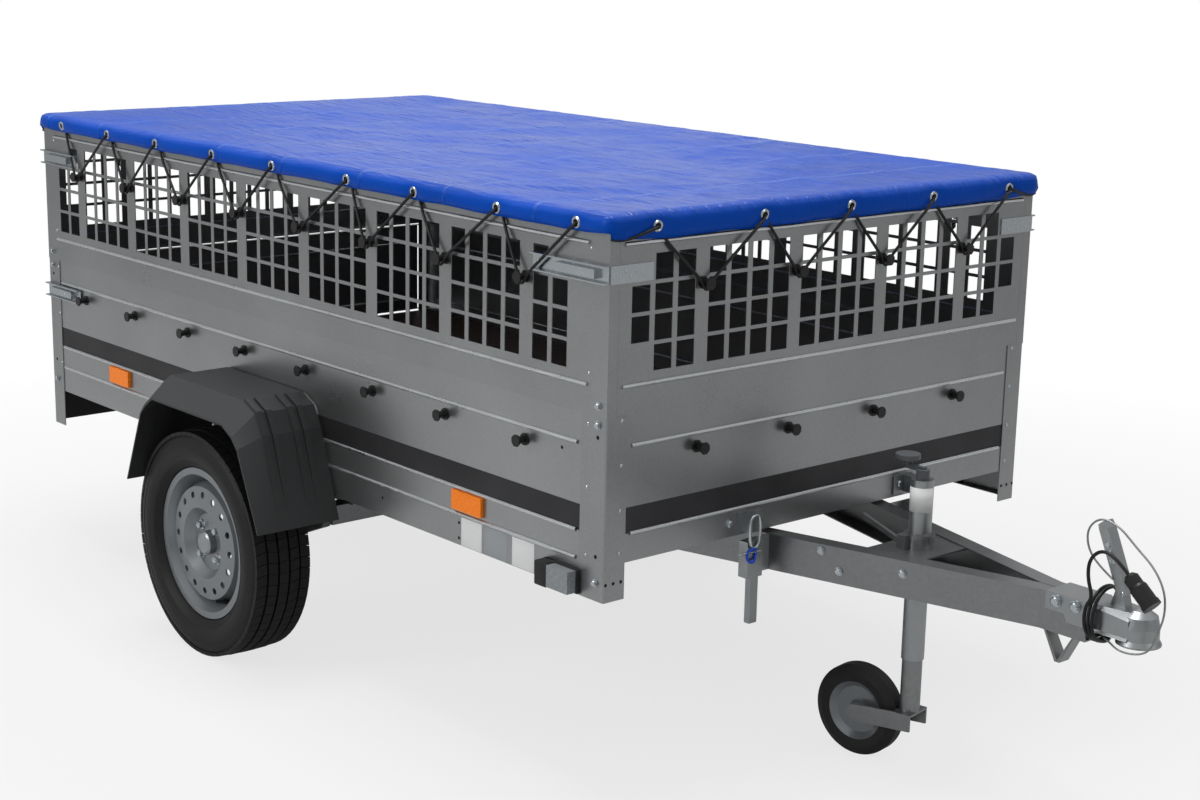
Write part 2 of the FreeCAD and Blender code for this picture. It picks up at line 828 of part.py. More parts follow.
def latch(body, height, side_face, sign, start, stop, toggle):
    """A channel plate with a toggle lying in it, along the side of the box."""
    half = "latch_height / 2"
    corners = [
        (side_face, f"{height} - {half}"),
        (f"{side_face} + {sign} * latch_depth", f"{height} - {half}"),
        (f"{side_face} + {sign} * latch_depth", f"{height} - {half} + latch_sheet"),
        (f"{side_face} + {sign} * latch_sheet", f"{height} - {half} + latch_sheet"),
        (f"{side_face} + {sign} * latch_sheet", f"{height} + {half} - latch_sheet"),
        (f"{side_face} + {sign} * latch_depth", f"{height} + {half} - latch_sheet"),
        (f"{side_face} + {sign} * latch_depth", f"{height} + {half}"),
        (side_face, f"{height} + {half}"),
    ]
    pad(body, outline(body, "YZ", [corners], start), f"{stop} - ({start})")
    bar = rectangle(
        f"{side_face} + {sign} * latch_sheet",
        f"{height} - latch_toggle / 2",
        f"{side_face} + {sign} * latch_depth",
        f"{height} + latch_toggle / 2",
    )
    pad(body, outline(body, "YZ", [bar], toggle), "latch_toggle_length")


REAR_LATCH = ("-box_length / 2", "-box_length / 2 + latch_length_rear")
REAR_TOGGLE = "-box_length / 2 + latch_toggle_start"


def corner_latches():
    """Over-centre latches on the side mesh, and the keeper bands on the ends that they pull on."""
    body = new_body("corner_latches")
    for side, sign in SIDES:
        face = f"{sign} * box_width / 2"
        front = ("box_length / 2 - latch_length_front", "box_length / 2")
        front_toggle = "box_length / 2 - latch_toggle_start - latch_toggle_length"
        latch(body, "latch_upper", face, sign, *REAR_LATCH, REAR_TOGGLE)
        latch(body, "latch_upper", face, sign, *front, front_toggle)
        for end in ("-1", "1"):
            band = rectangle(
                f"{end} * box_length / 2",
                f"{sign} * (box_width / 2 - latch_wrap)",
                f"{end} * (box_length / 2 + latch_sheet)",
                f"{sign} * (box_width / 2 - seam_gap)",
            )
            pad(body, outline(body, "XY", [band], "latch_upper - latch_height / 2"), "latch_height")
    return body


def tailgate_latches():
    """Over-centre latches on the side panels that hold the tailgate shut."""
    body = new_body("tailgate_latches")
    for side, sign in SIDES:
        latch(body, "latch_lower", f"{sign} * box_width / 2", sign, *REAR_LATCH, REAR_TOGGLE)
    return body


# Fenders, reflectors and lamps


def fender_section(grow, drop, inset):
    """The arch of a fender seen from the side, closed across its feet."""
    return [
        (f"fender_rear_foot + {grow}", "fender_foot"),
        (f"fender_rear_knee + {grow} + {inset}", f"fender_knee - {drop} / 2"),
        (f"fender_rear_turn + {grow} + {inset}", f"fender_turn - {drop}"),
        (f"fender_rear_crown + {grow} / 2 + {inset}", f"fender_top - {drop}"),
        (f"fender_front_crown - {grow} / 2", f"fender_top - {drop}"),
        (f"fender_front_turn - {grow} - {inset} / 2", f"fender_turn - {drop}"),
        (f"fender_front_knee - {grow} - {inset}", f"fender_knee - {drop} / 2"),
        (f"fender_front_foot - {grow}", "fender_foot"),
    ]


def fender_rib():
    """One moulded rib that runs down the front of the arch, seen from the side."""
    return [
        ("fender_front_crown", "fender_top - fender_wall / 2"),
        ("fender_front_crown", "fender_top + fender_rib / 2"),
        ("fender_front_crown + fender_rib", "fender_top + fender_rib"),
        ("fender_front_turn + fender_rib", "fender_turn + fender_rib"),
        ("fender_front_knee + fender_rib", "fender_knee + fender_rib / 2"),
        ("fender_rib_ahead + fender_rib", "fender_rib_foot"),
        ("fender_rib_ahead - fender_wall / 2", "fender_rib_foot"),
        ("fender_front_knee - fender_wall / 2", "fender_knee"),
        ("fender_front_turn - fender_wall / 2", "fender_turn - fender_wall / 2"),
    ]


def slope(body, kind, profiles):
    """A straight transition between two arches."""
    feature = body.newObject(kind, "slope")
    feature.Profile = profiles[0]
    feature.Sections = [profiles[1]]
    feature.Ruled = True
    feature.Refine = False
    body.Tip = feature


def fender(side, sign):
    """A moulded arch over the wheel with a sloping outer edge."""
    body = new_body(f"fender_{side}")
    root = "(box_width / 2 - post_sheet + bead_depth + seam_gap)"
    inner = f"-({sign}) * {root}"
    edge = f"-({sign}) * (box_width / 2 + fender_width - fender_edge_width)"
    outer = f"-({sign}) * (box_width / 2 + fender_width)"
    flat = f"box_width / 2 + fender_width - fender_edge_width - {root}"
    backwards = sign == "1"
    crown = fender_section("0", "0", "0")
    low_crown = fender_section("0", "fender_edge_drop", "fender_edge_inset")
    pad(body, outline(body, "XZ", [crown], inner), flat, backwards=backwards)
    profiles = [outline(body, "XZ", [crown], edge), outline(body, "XZ", [low_crown], outer)]
    slope(body, "PartDesign::AdditiveLoft", profiles)
    for group in (0, 1):
        for number in (0, 1):
            start = f"{root} + fender_rib_start + {group} * fender_rib_group + {number} * fender_rib_step"
            rib = outline(body, "XZ", [fender_rib()], f"-({sign}) * ({start})")
            pad(body, rib, "fender_rib_width", backwards=backwards)
    under = fender_section("fender_wall", "fender_wall", "0")
    low_under = fender_section("fender_wall", "(fender_edge_drop + fender_wall)", "fender_edge_inset")
    pocket(body, outline(body, "XZ", [under], inner), flat, backwards=not backwards)
    profiles = [outline(body, "XZ", [under], edge), outline(body, "XZ", [low_under], outer)]
    slope(body, "PartDesign::SubtractiveLoft", profiles)
    return body


# Wheels


def tyre(side, sign):
    """A tyre as one ring, seen in section from its bead to the crown."""
    body = new_body(f"tyre_{side}", "wheel_x", f"{sign} * wheel_track / 2", "wheel_radius")
    half = "(tyre_width / 2)"
    right = [
        ("(tyre_bead_width / 2)", "tyre_bead_radius"),
        (half, "tyre_bead_radius + (wheel_radius - tyre_bead_radius) * wall_share"),
        (f"{half} - tyre_shoulder", "wheel_radius"),
    ]
    left = [(f"-({across})", radius) for across, radius in reversed(right)]
    turned(body, outline(body, "YZ", [right + left]))
    return body


def rim(side, sign):
    """A pressed steel rim: a flanged barrel and a dished disc with a ring of vents."""
    body = new_body(f"rim_{side}", "wheel_x", f"{sign} * wheel_track / 2", "wheel_radius")
    half = "(rim_width / 2)"
    seat = "(tyre_bead_radius - seam_gap)"
    barrel = [
        (f"-{half}", "rim_flange_radius"),
        (f"-{half} + rim_sheet", "rim_flange_radius"),
        (f"-{half} + rim_sheet", seat),
        (f"-{half} * well_share", "rim_well_radius + rim_sheet"),
        (f"{half} * well_share", "rim_well_radius + rim_sheet"),
        (f"{half} - rim_sheet", seat),
        (f"{half} - rim_sheet", "rim_flange_radius"),
        (half, "rim_flange_radius"),
        (half, f"{seat} - rim_sheet"),
        (f"{half} * well_share + rim_sheet", "rim_well_radius"),
        (f"-{half} * well_share - rim_sheet", "rim_well_radius"),
        (f"-{half}", f"{seat} - rim_sheet"),
    ]
    turned(body, outline(body, "YZ", [barrel]))
    disc = [
        (f"{sign} * rim_offset", "hub_bore_radius"),
        (f"{sign} * rim_offset", "hub_radius + rim_sheet"),
        (f"{sign} * (rim_offset + disc_ridge)", "disc_ridge_radius"),
        (f"{sign} * (rim_offset + disc_slope)", "vent_circle + vent_wide"),
        (f"{sign} * (rim_offset - disc_foot)", "rim_well_radius"),
        (f"{sign} * (rim_offset - disc_foot + rim_sheet + rim_sheet / 2)", "rim_well_radius + rim_sheet / 2"),
        (f"{sign} * (rim_offset + disc_slope + rim_sheet)", "vent_circle + vent_wide + rim_sheet / 2"),
        (f"{sign} * (rim_offset + disc_ridge + rim_sheet)", "disc_ridge_radius - rim_sheet / 2"),
        (f"{sign} * (rim_offset + rim_sheet)", "hub_radius"),
        (f"{sign} * (rim_offset + rim_sheet)", "hub_bore_radius"),
    ]
    turned(body, outline(body, "YZ", [disc]))
    round_vent = octagon("0", "vent_circle", "vent_wide / 2")
    vent = outline(body, "XZ", [round_vent], f"-({sign}) * (rim_offset + disc_ridge)")
    cut = pocket(body, vent, "2 * (disc_ridge + disc_foot)", side="Symmetric")
    ring_of(body, cut, "Y", "vent_count")
    return body


def hub(side, sign):
    """The hub that the rim bolts to, with four bolts and a pressed cap."""
    body = new_body(f"hub_{side}", "wheel_x", f"{sign} * wheel_track / 2", "wheel_radius")
    section = [
        (f"{sign} * (rim_offset - hub_length)", "stub_radius + bearing_clearance"),
        (f"{sign} * (rim_offset - hub_length)", "hub_barrel_radius"),
        (f"{sign} * (rim_offset - hub_flange)", "hub_barrel_radius"),
        (f"{sign} * (rim_offset - hub_flange)", "hub_radius"),
        (f"{sign} * rim_offset", "hub_radius"),
        (f"{sign} * rim_offset", "hub_cap_radius"),
        (f"{sign} * (rim_offset + hub_cap_rise - hub_cap_edge)", "hub_cap_radius"),
        (f"{sign} * (rim_offset + hub_cap_rise)", "hub_cap_radius - hub_cap_edge"),
        (f"{sign} * (rim_offset + hub_cap_rise)", "0"),
        (f"{sign} * (rim_offset + hub_cap_wall)", "0"),
        (f"{sign} * (rim_offset + hub_cap_wall)", "stub_radius + bearing_clearance"),
    ]
    turned(body, outline(body, "YZ", [section]))
    return body


def swing_arm(side, sign):
    """The trailing arm of the torsion axle with the stub that carries the hub."""
    body = new_body(f"swing_arm_{side}", "wheel_x", f"{sign} * axle_half_length", "wheel_radius")
    rise = "(axle_height - wheel_radius)"
    lean = f"atan({rise} / axle_ahead)"
    corners = [
        (f"-arm_end_radius * sin({lean})", f"arm_end_radius * cos({lean})"),
        ("-arm_end_radius", "0"),
        ("0", "-arm_end_radius"),
        (f"axle_ahead + arm_end_radius * sin({lean})", f"{rise} - arm_end_radius * cos({lean})"),
        ("axle_ahead + arm_end_radius", rise),
        (f"axle_ahead - arm_end_radius * sin({lean})", f"{rise} + arm_end_radius * cos({lean})"),
    ]
    backwards = sign == "1"
    pad(body, outline(body, "XZ", [corners]), "arm_thickness", backwards=backwards)
    stub = circles(body, "XZ", [("0", "0", "stub_radius")], f"-({sign}) * arm_thickness")
    pad(body, stub, "wheel_track / 2 - axle_half_length - arm_thickness + rim_offset", backwards=backwards)
    return body


def axle_tube():
    """The square tube that holds the two rubber-sprung arms."""
    body = new_body("axle_tube", AXLE_X, "0", "axle_height")
    half = "axle_tube / 2"
    square = outline(body, "XZ", [rectangle(f"-{half}", f"-{half}", half, half)])
    pad(body, square, "2 * axle_half_length", side="Symmetric")
    return body


def axle_hangers():
    """Plates that hang the axle tube under the floor, with the pins the box tilts about."""
    body = new_body("axle_hangers", AXLE_X)
    reach = "(pivot_eye_length / 2 + pivot_side_gap)"
    loops = []
    for side, sign in SIDES:
        for edge in ("-1", "1"):
            near = f"({sign} * pivot_spread + {edge} * {reach})"
            far = f"{near} + {edge} * hanger_sheet"
            loops.append(rectangle("-hanger_width / 2", near, "hanger_width / 2", far))
    foot = "(axle_height + axle_tube / 2)"
    pad(body, outline(body, "XY", loops, foot), f"floor_bearer_foot - {foot}")
    for side, sign in SIDES:
        start = f"-({sign}) * pivot_spread - {reach}"
        pin = circles(body, "XZ", [("0", "pivot_height", "pivot_pin_radius")], start)
        pad(body, pin, f"2 * {reach}")
    return body


# Drawbar, coupling and jockey wheel


def drawbar_arm(side, sign):
    """A folded channel, open to the middle, from the pivot to the coupling."""
    body = new_body(f"drawbar_arm_{side}")
    rear = AXLE_X
    spread = f"(drawbar_nose + tan(drawbar_angle) * (drawbar_bend - {rear}))"
    flange = "drawbar_flange / cos(drawbar_angle)"
    web = "drawbar_sheet / cos(drawbar_angle)"
    gap = f"{sign} * drawbar_gap / 2"
    nose = f"{sign} * drawbar_nose"
    meet = f"(drawbar_bend - ({flange} - drawbar_nose + drawbar_gap / 2) / tan(drawbar_angle))"
    strip = [
        (rear, f"{sign} * {spread}"),
        ("drawbar_bend", nose),
        ("drawbar_tip", nose),
        ("drawbar_tip", gap),
        (meet, gap),
        (rear, f"{sign} * ({spread} - {flange})"),
    ]
    wall = [
        (rear, f"{sign} * {spread}"),
        ("drawbar_bend", nose),
        ("drawbar_tip", nose),
        ("drawbar_tip", f"{sign} * (drawbar_nose - drawbar_sheet)"),
        ("drawbar_bend", f"{sign} * (drawbar_nose - {web})"),
        (rear, f"{sign} * ({spread} - {web})"),
    ]
    pad(body, outline(body, "XY", [wall], "drawbar_foot"), "drawbar_top - drawbar_foot")
    pad(body, outline(body, "XY", [strip], "drawbar_foot"), "drawbar_sheet")
    pad(body, outline(body, "XY", [strip], "drawbar_top - drawbar_sheet"), "drawbar_sheet")
    eye = circles(
        body,
        "XZ",
        [(rear, "pivot_height", "pivot_eye_radius")],
        f"-({sign}) * pivot_spread - pivot_eye_length / 2",
    )
    pad(body, eye, "pivot_eye_length")
    bore = circles(
        body,
        "XZ",
        [(rear, "pivot_height", "pivot_pin_radius + pivot_clearance")],
        f"-({sign}) * pivot_spread",
    )
    body.Tip = pocket(body, bore, "4 * pivot_eye_length", side="Symmetric")
    return body


def arm_face(x):
    """How far out the drawbar's side faces are at a place along the trailer."""
    return f"(drawbar_nose + tan(drawbar_angle) * (drawbar_bend - ({x})))"


def cross_plate():
    """Two plates between the drawbar arms, with the hole for the jockey tube."""
    body = new_body("drawbar_cross_plate")
    web = "drawbar_sheet / cos(drawbar_angle)"
    rear = f"({arm_face('plate_rear')} - {web})"
    front = f"({arm_face('plate_front')} - {web})"
    corners = [
        ("plate_rear", f"-{rear}"),
        ("plate_front", f"-{front}"),
        ("plate_front", front),
        ("plate_rear", rear),
    ]
    upper = "(drawbar_top - drawbar_sheet - plate_sheet)"
    lower = "(drawbar_foot + drawbar_sheet)"
    for foot in (upper, lower):
        pad(body, outline(body, "XY", [corners], foot), "plate_sheet")
    hole = circles(body, "XY", [("jockey_x", "0", "jockey_outer_radius + jockey_slip")])
    body.Tip = pocket(body, hole, "drawbar_top", backwards=True)
    return body


COUPLING_TOP = "(drawbar_top + seam_gap + coupling_wall)"
BALL_X = "(coupling_nose - coupling_head_radius)"


def coupling():
    """The pressed coupling: a stepped channel over the arms and a domed head over the ball."""
    body = new_body("coupling")
    rear = "(drawbar_tip - coupling_lap)"
    foot = f"({COUPLING_TOP} - coupling_height)"
    slot = "(drawbar_nose + seam_gap)"
    skin = f"({slot} + coupling_wall)"
    channel = [
        (f"-{skin}", foot),
        (f"-{skin}", COUPLING_TOP),
        (skin, COUPLING_TOP),
        (skin, foot),
        (slot, foot),
        (slot, f"{COUPLING_TOP} - coupling_wall"),
        (f"-{slot}", f"{COUPLING_TOP} - coupling_wall"),
        (f"-{slot}", foot),
    ]
    pad(body, outline(body, "YZ", [channel], rear), "coupling_lap + coupling_wall")
    step = [
        (rear, foot),
        (rear, f"{foot} + coupling_step"),
        (f"{rear} + coupling_step_length", f"{foot} + coupling_step"),
        (f"{rear} + coupling_step_length + coupling_step / 2", foot),
    ]
    pocket(body, outline(body, "XZ", [step]), "4 * drawbar_nose", side="Symmetric")
    sections = []
    for away, half, shoulder in (
        ("drawbar_tip", skin, "coupling_wall"),
        (BALL_X, "coupling_head_radius", "dome_shoulder"),
    ):
        corners = [
            (f"-{half} - coupling_lip", foot),
            (f"-{half}", f"{foot} + coupling_lip"),
            (f"-{half}", f"{COUPLING_TOP} - {shoulder}"),
            (f"-({half} - {shoulder})", COUPLING_TOP),
            (f"({half} - {shoulder})", COUPLING_TOP),
            (half, f"{COUPLING_TOP} - {shoulder}"),
            (half, f"{foot} + coupling_lip"),
            (f"{half} + coupling_lip", foot),
        ]
        sections.append(outline(body, "YZ", [corners], away))
    slope(body, "PartDesign::AdditiveLoft", sections)
    inside = "(drawbar_nose - coupling_lip)"
    open_foot = rectangle("drawbar_tip", f"-{inside}", f"{BALL_X} - coupling_head_radius", inside)
    under = outline(body, "XY", [open_foot], foot)
    pocket(body, under, "coupling_height - dome_shoulder", backwards=True)
    dome = [
        ("0", "coupling_mouth"),
        ("coupling_head_radius + coupling_lip", "coupling_mouth"),
        ("coupling_head_radius + coupling_lip", "coupling_mouth + coupling_wall"),
        ("coupling_head_radius", "coupling_mouth + coupling_lip_height"),
        ("coupling_head_radius", f"{COUPLING_TOP} - 2 * dome_shoulder"),
        ("dome_shoulder_radius", f"{COUPLING_TOP} - dome_shoulder / 2"),
        ("dome_crown_radius", f"{COUPLING_TOP} + dome_rise / 2"),
        ("0", f"{COUPLING_TOP} + dome_rise"),
    ]
    head = outline(body, "XZ", [dome])
    head.setExpression("AttachmentOffset.Base.x", formula(BALL_X))
    turned(body, head, "V_Axis")
    socket = circles(body, "XY", [(BALL_X, "0", "ball_radius + bearing_clearance")], "coupling_mouth")
    pocket(body, socket, "ball_height + ball_radius - coupling_mouth", backwards=True)
    return body


def coupling_handle():
    """The pressed lever that locks the coupling, on its bracket over the neck."""
    body = new_body("coupling_handle")
    half = "(bracket_length / 2)"
    bracket = [
        (f"handle_foot_ahead - {half}", COUPLING_TOP),
        (f"handle_foot_ahead + {half}", COUPLING_TOP),
        (f"handle_foot_ahead + {half} / 2", f"{COUPLING_TOP} + bracket_rise"),
        (f"handle_foot_ahead - {half} / 2", f"{COUPLING_TOP} + bracket_rise"),
    ]
    bracket_width = "(handle_width - 2 * handle_sheet)"
    lean = "atan((handle_foot_ahead - handle_tip_ahead) / (handle_tip_rise - handle_foot_rise))"
    out_x = f"cos({lean})"
    out_z = f"sin({lean})"
    web = [
        ("handle_foot_ahead", "handle_foot_rise"),
        (f"handle_foot_ahead + handle_depth * {out_x}", f"handle_foot_rise + handle_depth * {out_z}"),
        (f"handle_tip_ahead + handle_depth * {out_x}", f"handle_tip_rise + handle_depth * {out_z}"),
        (f"handle_tip_ahead + handle_depth / 2 * {out_x}", f"handle_tip_rise + handle_depth"),
        ("handle_tip_ahead - handle_sheet", "handle_tip_rise + handle_depth / 2"),
        ("handle_tip_ahead", "handle_tip_rise"),
    ]
    pad(body, outline(body, "XZ", [web]), "handle_width", side="Symmetric")
    inside = "(handle_depth - handle_sheet)"
    hollow = [
        (f"handle_foot_ahead - handle_sheet * {out_x}", f"handle_foot_rise - handle_sheet * {out_z}"),
        (f"handle_foot_ahead + {inside} * {out_x}", f"handle_foot_rise + {inside} * {out_z}"),
        (f"handle_tip_ahead + {inside} * {out_x}", f"handle_tip_rise + {inside} * {out_z} - handle_depth"),
        ("handle_tip_ahead - handle_sheet", "handle_tip_rise - handle_depth"),
    ]
    pocket(body, outline(body, "XZ", [hollow]), bracket_width, side="Symmetric")
    pad(body, outline(body, "XZ", [bracket]), bracket_width, side="Symmetric")
    return body


def drawbar_foot():
    """The bent strap under the nose of the drawbar that keeps it off the ground."""
    body = new_body("drawbar_foot")
    rear = "(drawbar_tip - strap_length - strap_inset)"
    front = "(drawbar_tip - strap_inset)"
    middle = "(drawbar_tip - strap_inset - strap_length / 2)"
    corners = [
        (rear, "drawbar_foot"),
        (f"{middle} - strap_flat / 2", "drawbar_foot - strap_drop"),
        (f"{middle} + strap_flat / 2", "drawbar_foot - strap_drop"),
        (front, "drawbar_foot"),
        (f"{front} - strap_foot_sheet", "drawbar_foot"),
        (middle, "drawbar_foot - strap_drop + strap_sheet"),
        (f"{rear} + strap_foot_sheet", "drawbar_foot"),
    ]
    pad(body, outline(body, "XZ", [corners]), "strap_width", side="Symmetric")
    return body


def jockey_clamp():
    """The collar on the cross plate that grips the jockey tube, with its lever."""
    body = new_body("jockey_clamp", "jockey_x", "0", "drawbar_top - drawbar_sheet")
    collar = circles(body, "XY", [("0", "0", "jockey_outer_radius + clamp_wall")])
    pad(body, collar, "clamp_height")
    near = "-jockey_outer_radius + clamp_wall / 2"
    far = "-jockey_outer_radius - clamp_block"
    block = outline(body, "XY", [rectangle("-clamp_block", far, "0", near)])
    pad(body, block, "clamp_height")
    lever = outline(
        body,
        "XZ",
        [
            [
                ("-clamp_block", "lever_low"),
                ("-clamp_block", "lever_high"),
                ("-clamp_reach", "lever_end_high"),
                ("-clamp_reach", "lever_end_low"),
            ]
        ],
        "jockey_outer_radius + clamp_block / 2",
    )
    pad(body, lever, "lever_sheet")
    hole = circles(body, "XY", [("0", "0", "jockey_outer_radius")])
    body.Tip = pocket(body, hole, "2 * clamp_height", side="Symmetric")
    return body


def jockey_outer_tube():
    body = new_body("jockey_outer_tube", "jockey_x", "0", "jockey_outer_foot")
    length = "(jockey_outer_top - jockey_outer_foot)"
    pad(body, circles(body, "XY", [("0", "0", "jockey_outer_radius")]), length)
    bore = circles(body, "XY", [("0", "0", "jockey_outer_radius - jockey_wall")])
    body.Tip = pocket(body, bore, f"{length} - jockey_wall", backwards=True)
    return body


def jockey_crank():
    """The folding crank on top of the jockey tube, with its mushroom knob."""
    body = new_body("jockey_crank", "jockey_x", "0", "jockey_outer_top")
    pad(body, circles(body, "XY", [("0", "0", "crank_post_radius")]), "crank_rise")
    arm = outline(
        body,
        "XY",
        [rectangle("-crank_reach", "-crank_bar / 2", "crank_bar / 2", "crank_bar / 2")],
        "crank_rise - crank_bar / 2",
    )
    pad(body, arm, "crank_bar")
    stem = circles(body, "XY", [("-crank_reach", "0", "crank_bar")], "crank_rise + crank_bar / 2")
    pad(body, stem, "crank_bar")
    knob_top = circles(
        body, "XY", [("-crank_reach", "0", "crank_knob_radius")], "crank_rise + crank_bar / 2 + crank_bar"
    )
    pad(body, knob_top, "crank_bar")
    return body


def jockey_leg():
    """The inner tube that swivels in the outer one, with the fork of the wheel."""
    body = new_body("jockey_leg", "jockey_x", "0", "0")
    body.setExpression(".Placement.Rotation.Angle", formula("jockey_swivel"))
    length = "(jockey_outer_foot + jockey_overlap - jockey_leg_foot)"
    pad(body, circles(body, "XY", [("0", "0", "jockey_leg_radius")], "jockey_leg_foot"), length)
    inner = "(jockey_width / 2 + fork_gap)"
    crown = outline(
        body,
        "XY",
        [
            rectangle(
                "-jockey_leg_radius",
                f"-{inner} - fork_sheet",
                "jockey_leg_radius",
                f"{inner} + fork_sheet",
            )
        ],
        "jockey_leg_foot - fork_sheet",
    )
    pad(body, crown, "fork_sheet")
    cheek = [
        ("-jockey_leg_radius", "jockey_leg_foot"),
        ("-jockey_leg_radius", "jockey_leg_foot - fork_height"),
        ("jockey_trail", "jockey_radius - fork_height / 2"),
        ("jockey_trail + fork_height / 2", "jockey_radius"),
        ("jockey_trail", "jockey_radius + fork_height / 2"),
        ("jockey_leg_radius", "jockey_leg_foot"),
    ]
    for away in (inner, f"-({inner}) - fork_sheet"):
        pad(body, outline(body, "XZ", [cheek], away), "fork_sheet")
    axle_end = f"-({inner}) - fork_sheet"
    axle = circles(body, "XZ", [("jockey_trail", "jockey_radius", "jockey_axle_radius")], axle_end)
    pad(body, axle, f"2 * ({inner} + fork_sheet)")
    return body


def turned_at_jockey(body):
    """Stands a piece on the jockey wheel's axis, turned with the fork."""
    reach = "jockey_trail"
    body.setExpression(
        ".Placement.Base.x", formula(f"jockey_x - origin_ahead + {reach} * cos(jockey_swivel)")
    )
    body.setExpression(".Placement.Base.y", formula(f"{reach} * sin(jockey_swivel)"))
    body.setExpression(".Placement.Base.z", formula("jockey_radius"))
    body.setExpression(".Placement.Rotation.Angle", formula("jockey_swivel"))


def jockey_rim():
    body = new_body("jockey_rim")
    turned_at_jockey(body)
    half = "(jockey_width / 2)"
    bore = "(jockey_axle_radius + bearing_clearance)"
    section = [
        (f"-{half}", bore),
        (f"-{half}", "jockey_hub_radius"),
        (f"-{half} * jockey_dish_share", "jockey_dish_radius"),
        (f"-{half} * jockey_dish_share", "jockey_dish_edge"),
        (f"-{half} * jockey_bead_share", "jockey_rim_radius"),
        (f"{half} * jockey_bead_share", "jockey_rim_radius"),
        (f"{half} * jockey_dish_share", "jockey_dish_edge"),
        (f"{half} * jockey_dish_share", "jockey_dish_radius"),
        (half, "jockey_hub_radius"),
        (half, bore),
    ]
    turned(body, outline(body, "YZ", [section]))
    return body


def jockey_tyre():
    body = new_body("jockey_tyre")
    turned_at_jockey(body)
    half = "(jockey_width / 2)"
    wall = "(jockey_radius - jockey_rim_radius)"
    section = [
        (f"-{half} * jockey_bead_share", "jockey_rim_radius"),
        (f"-{half}", f"jockey_rim_radius + {wall} * jockey_wall_share"),
        (f"-{half} * jockey_tread_share", "jockey_radius"),
        (f"{half} * jockey_tread_share", "jockey_radius"),
        (half, f"jockey_rim_radius + {wall} * jockey_wall_share"),
        (f"{half} * jockey_bead_share", "jockey_rim_radius"),
    ]
    turned(body, outline(body, "YZ", [section]))
    return body


# Tilt latches between the drawbar and the front panel


def tilt_latches():
    """Toggle latches on brackets at the drawbar arms, their levers hanging down."""
    body = new_body("tilt_latches")
    rear = "(box_length / 2 + tilt_gap)"
    front = "(box_length / 2 + tilt_gap + tilt_sheet)"
    for side, sign in SIDES:
        middle = f"{sign} * tilt_latch_out"
        edge = f"{middle} + {sign} * tilt_latch_width / 2"
        corners = [
            (rear, f"{sign} * {arm_face(rear)}"),
            (front, f"{sign} * {arm_face(front)}"),
            (front, edge),
            (rear, edge),
        ]
        pad(body, outline(body, "XY", [corners], "drawbar_foot"), "drawbar_top - drawbar_foot")
        case = rectangle(
            front,
            f"{middle} - {sign} * tilt_latch_width / 2",
            f"{front} + tilt_latch_depth",
            edge,
        )
        pad(body, outline(body, "XY", [case], "drawbar_foot"), "drawbar_top - drawbar_foot")
        lever = rectangle(
            f"{front} + tilt_lever_inset",
            f"{middle} - {sign} * tilt_latch_width / 4",
            f"{front} + tilt_latch_depth",
            f"{middle} + {sign} * tilt_latch_width / 4",
        )
        pad(body, outline(body, "XY", [lever], "drawbar_foot - tilt_lever"), "tilt_lever")
    return body


def tilt_keepers():
    """Plates with a lifting ring on the front panel that the tilt latches hold down."""
    body = new_body("tilt_keepers")
    face = "(box_length / 2 - post_sheet)"
    for side, sign in SIDES:
        middle = f"{sign} * tilt_latch_out"
        plate = rectangle(
            f"{middle} - {sign} * tilt_latch_width",
            "tilt_keeper_foot",
            f"{middle} + {sign} * tilt_latch_width / 2",
            "tilt_keeper_foot + tilt_keeper_height",
        )
        pad(body, outline(body, "YZ", [plate], face), "tilt_sheet")
        ring = rectangle(
            f"{middle} - {sign} * tilt_ring_half",
            "tilt_keeper_foot + tilt_sheet",
            f"{middle} + {sign} * tilt_ring_half",
            "tilt_keeper_foot + tilt_keeper_height",
        )
        pad(body, outline(body, "YZ", [ring], face), "tilt_gap + tilt_latch_depth")
    return body


# Rear sill, tailgate hinges, lamps and reflectors


def rear_sill():
    """The folded sill across the rear that carries the floor's edge and the tailgate hinges."""
    body = new_body("rear_sill")
    half = "(box_width / 2 - post_sheet - panel_flange - seam_gap)"
    rear = "(-box_length / 2 + post_sheet + seam_gap)"
    corners = [
        (rear, "sill_foot"),
        (rear, "floor_foot"),
        (f"{rear} + sill_depth", "floor_foot"),
        (f"{rear} + sill_depth", "floor_foot - panel_sheet"),
        (f"{rear} + panel_sheet", "floor_foot - panel_sheet"),
        (f"{rear} + panel_sheet", "sill_foot + panel_sheet"),
        (f"{rear} + sill_depth", "sill_foot + panel_sheet"),
        (f"{rear} + sill_depth", "sill_foot"),
    ]
    pad(body, outline(body, "XZ", [corners]), f"2 * {half}", side="Symmetric")
    return body


def lamp_bar():
    """The black bar below the tailgate, between the feet of the rear posts."""
    body = new_body("lamp_bar")
    half = "(box_width / 2 - post_sheet - seam_gap)"
    rear = "(-box_length / 2 + post_sheet + seam_gap)"
    bar = rectangle(rear, f"-{half}", f"{rear} + lamp_bar_depth", half)
    pad(body, outline(body, "XY", [bar], "lamp_bar_foot"), "lamp_bar_height")
    return body


def rear_lamps():
    """The two rear lamps on the bar."""
    body = new_body("rear_lamps")
    rear = "(-box_length / 2 + post_sheet + seam_gap)"
    for side, sign in SIDES:
        outer = f"{sign} * (box_width / 2 - rear_post_face - seam_gap)"
        inner = f"{sign} * (box_width / 2 - rear_post_face - seam_gap - rear_lamp_width)"
        lamp = rectangle(f"{rear} - rear_lamp_depth", inner, rear, outer)
        pad(body, outline(body, "XY", [lamp], "lamp_bar_foot"), "lamp_bar_height")
    return body


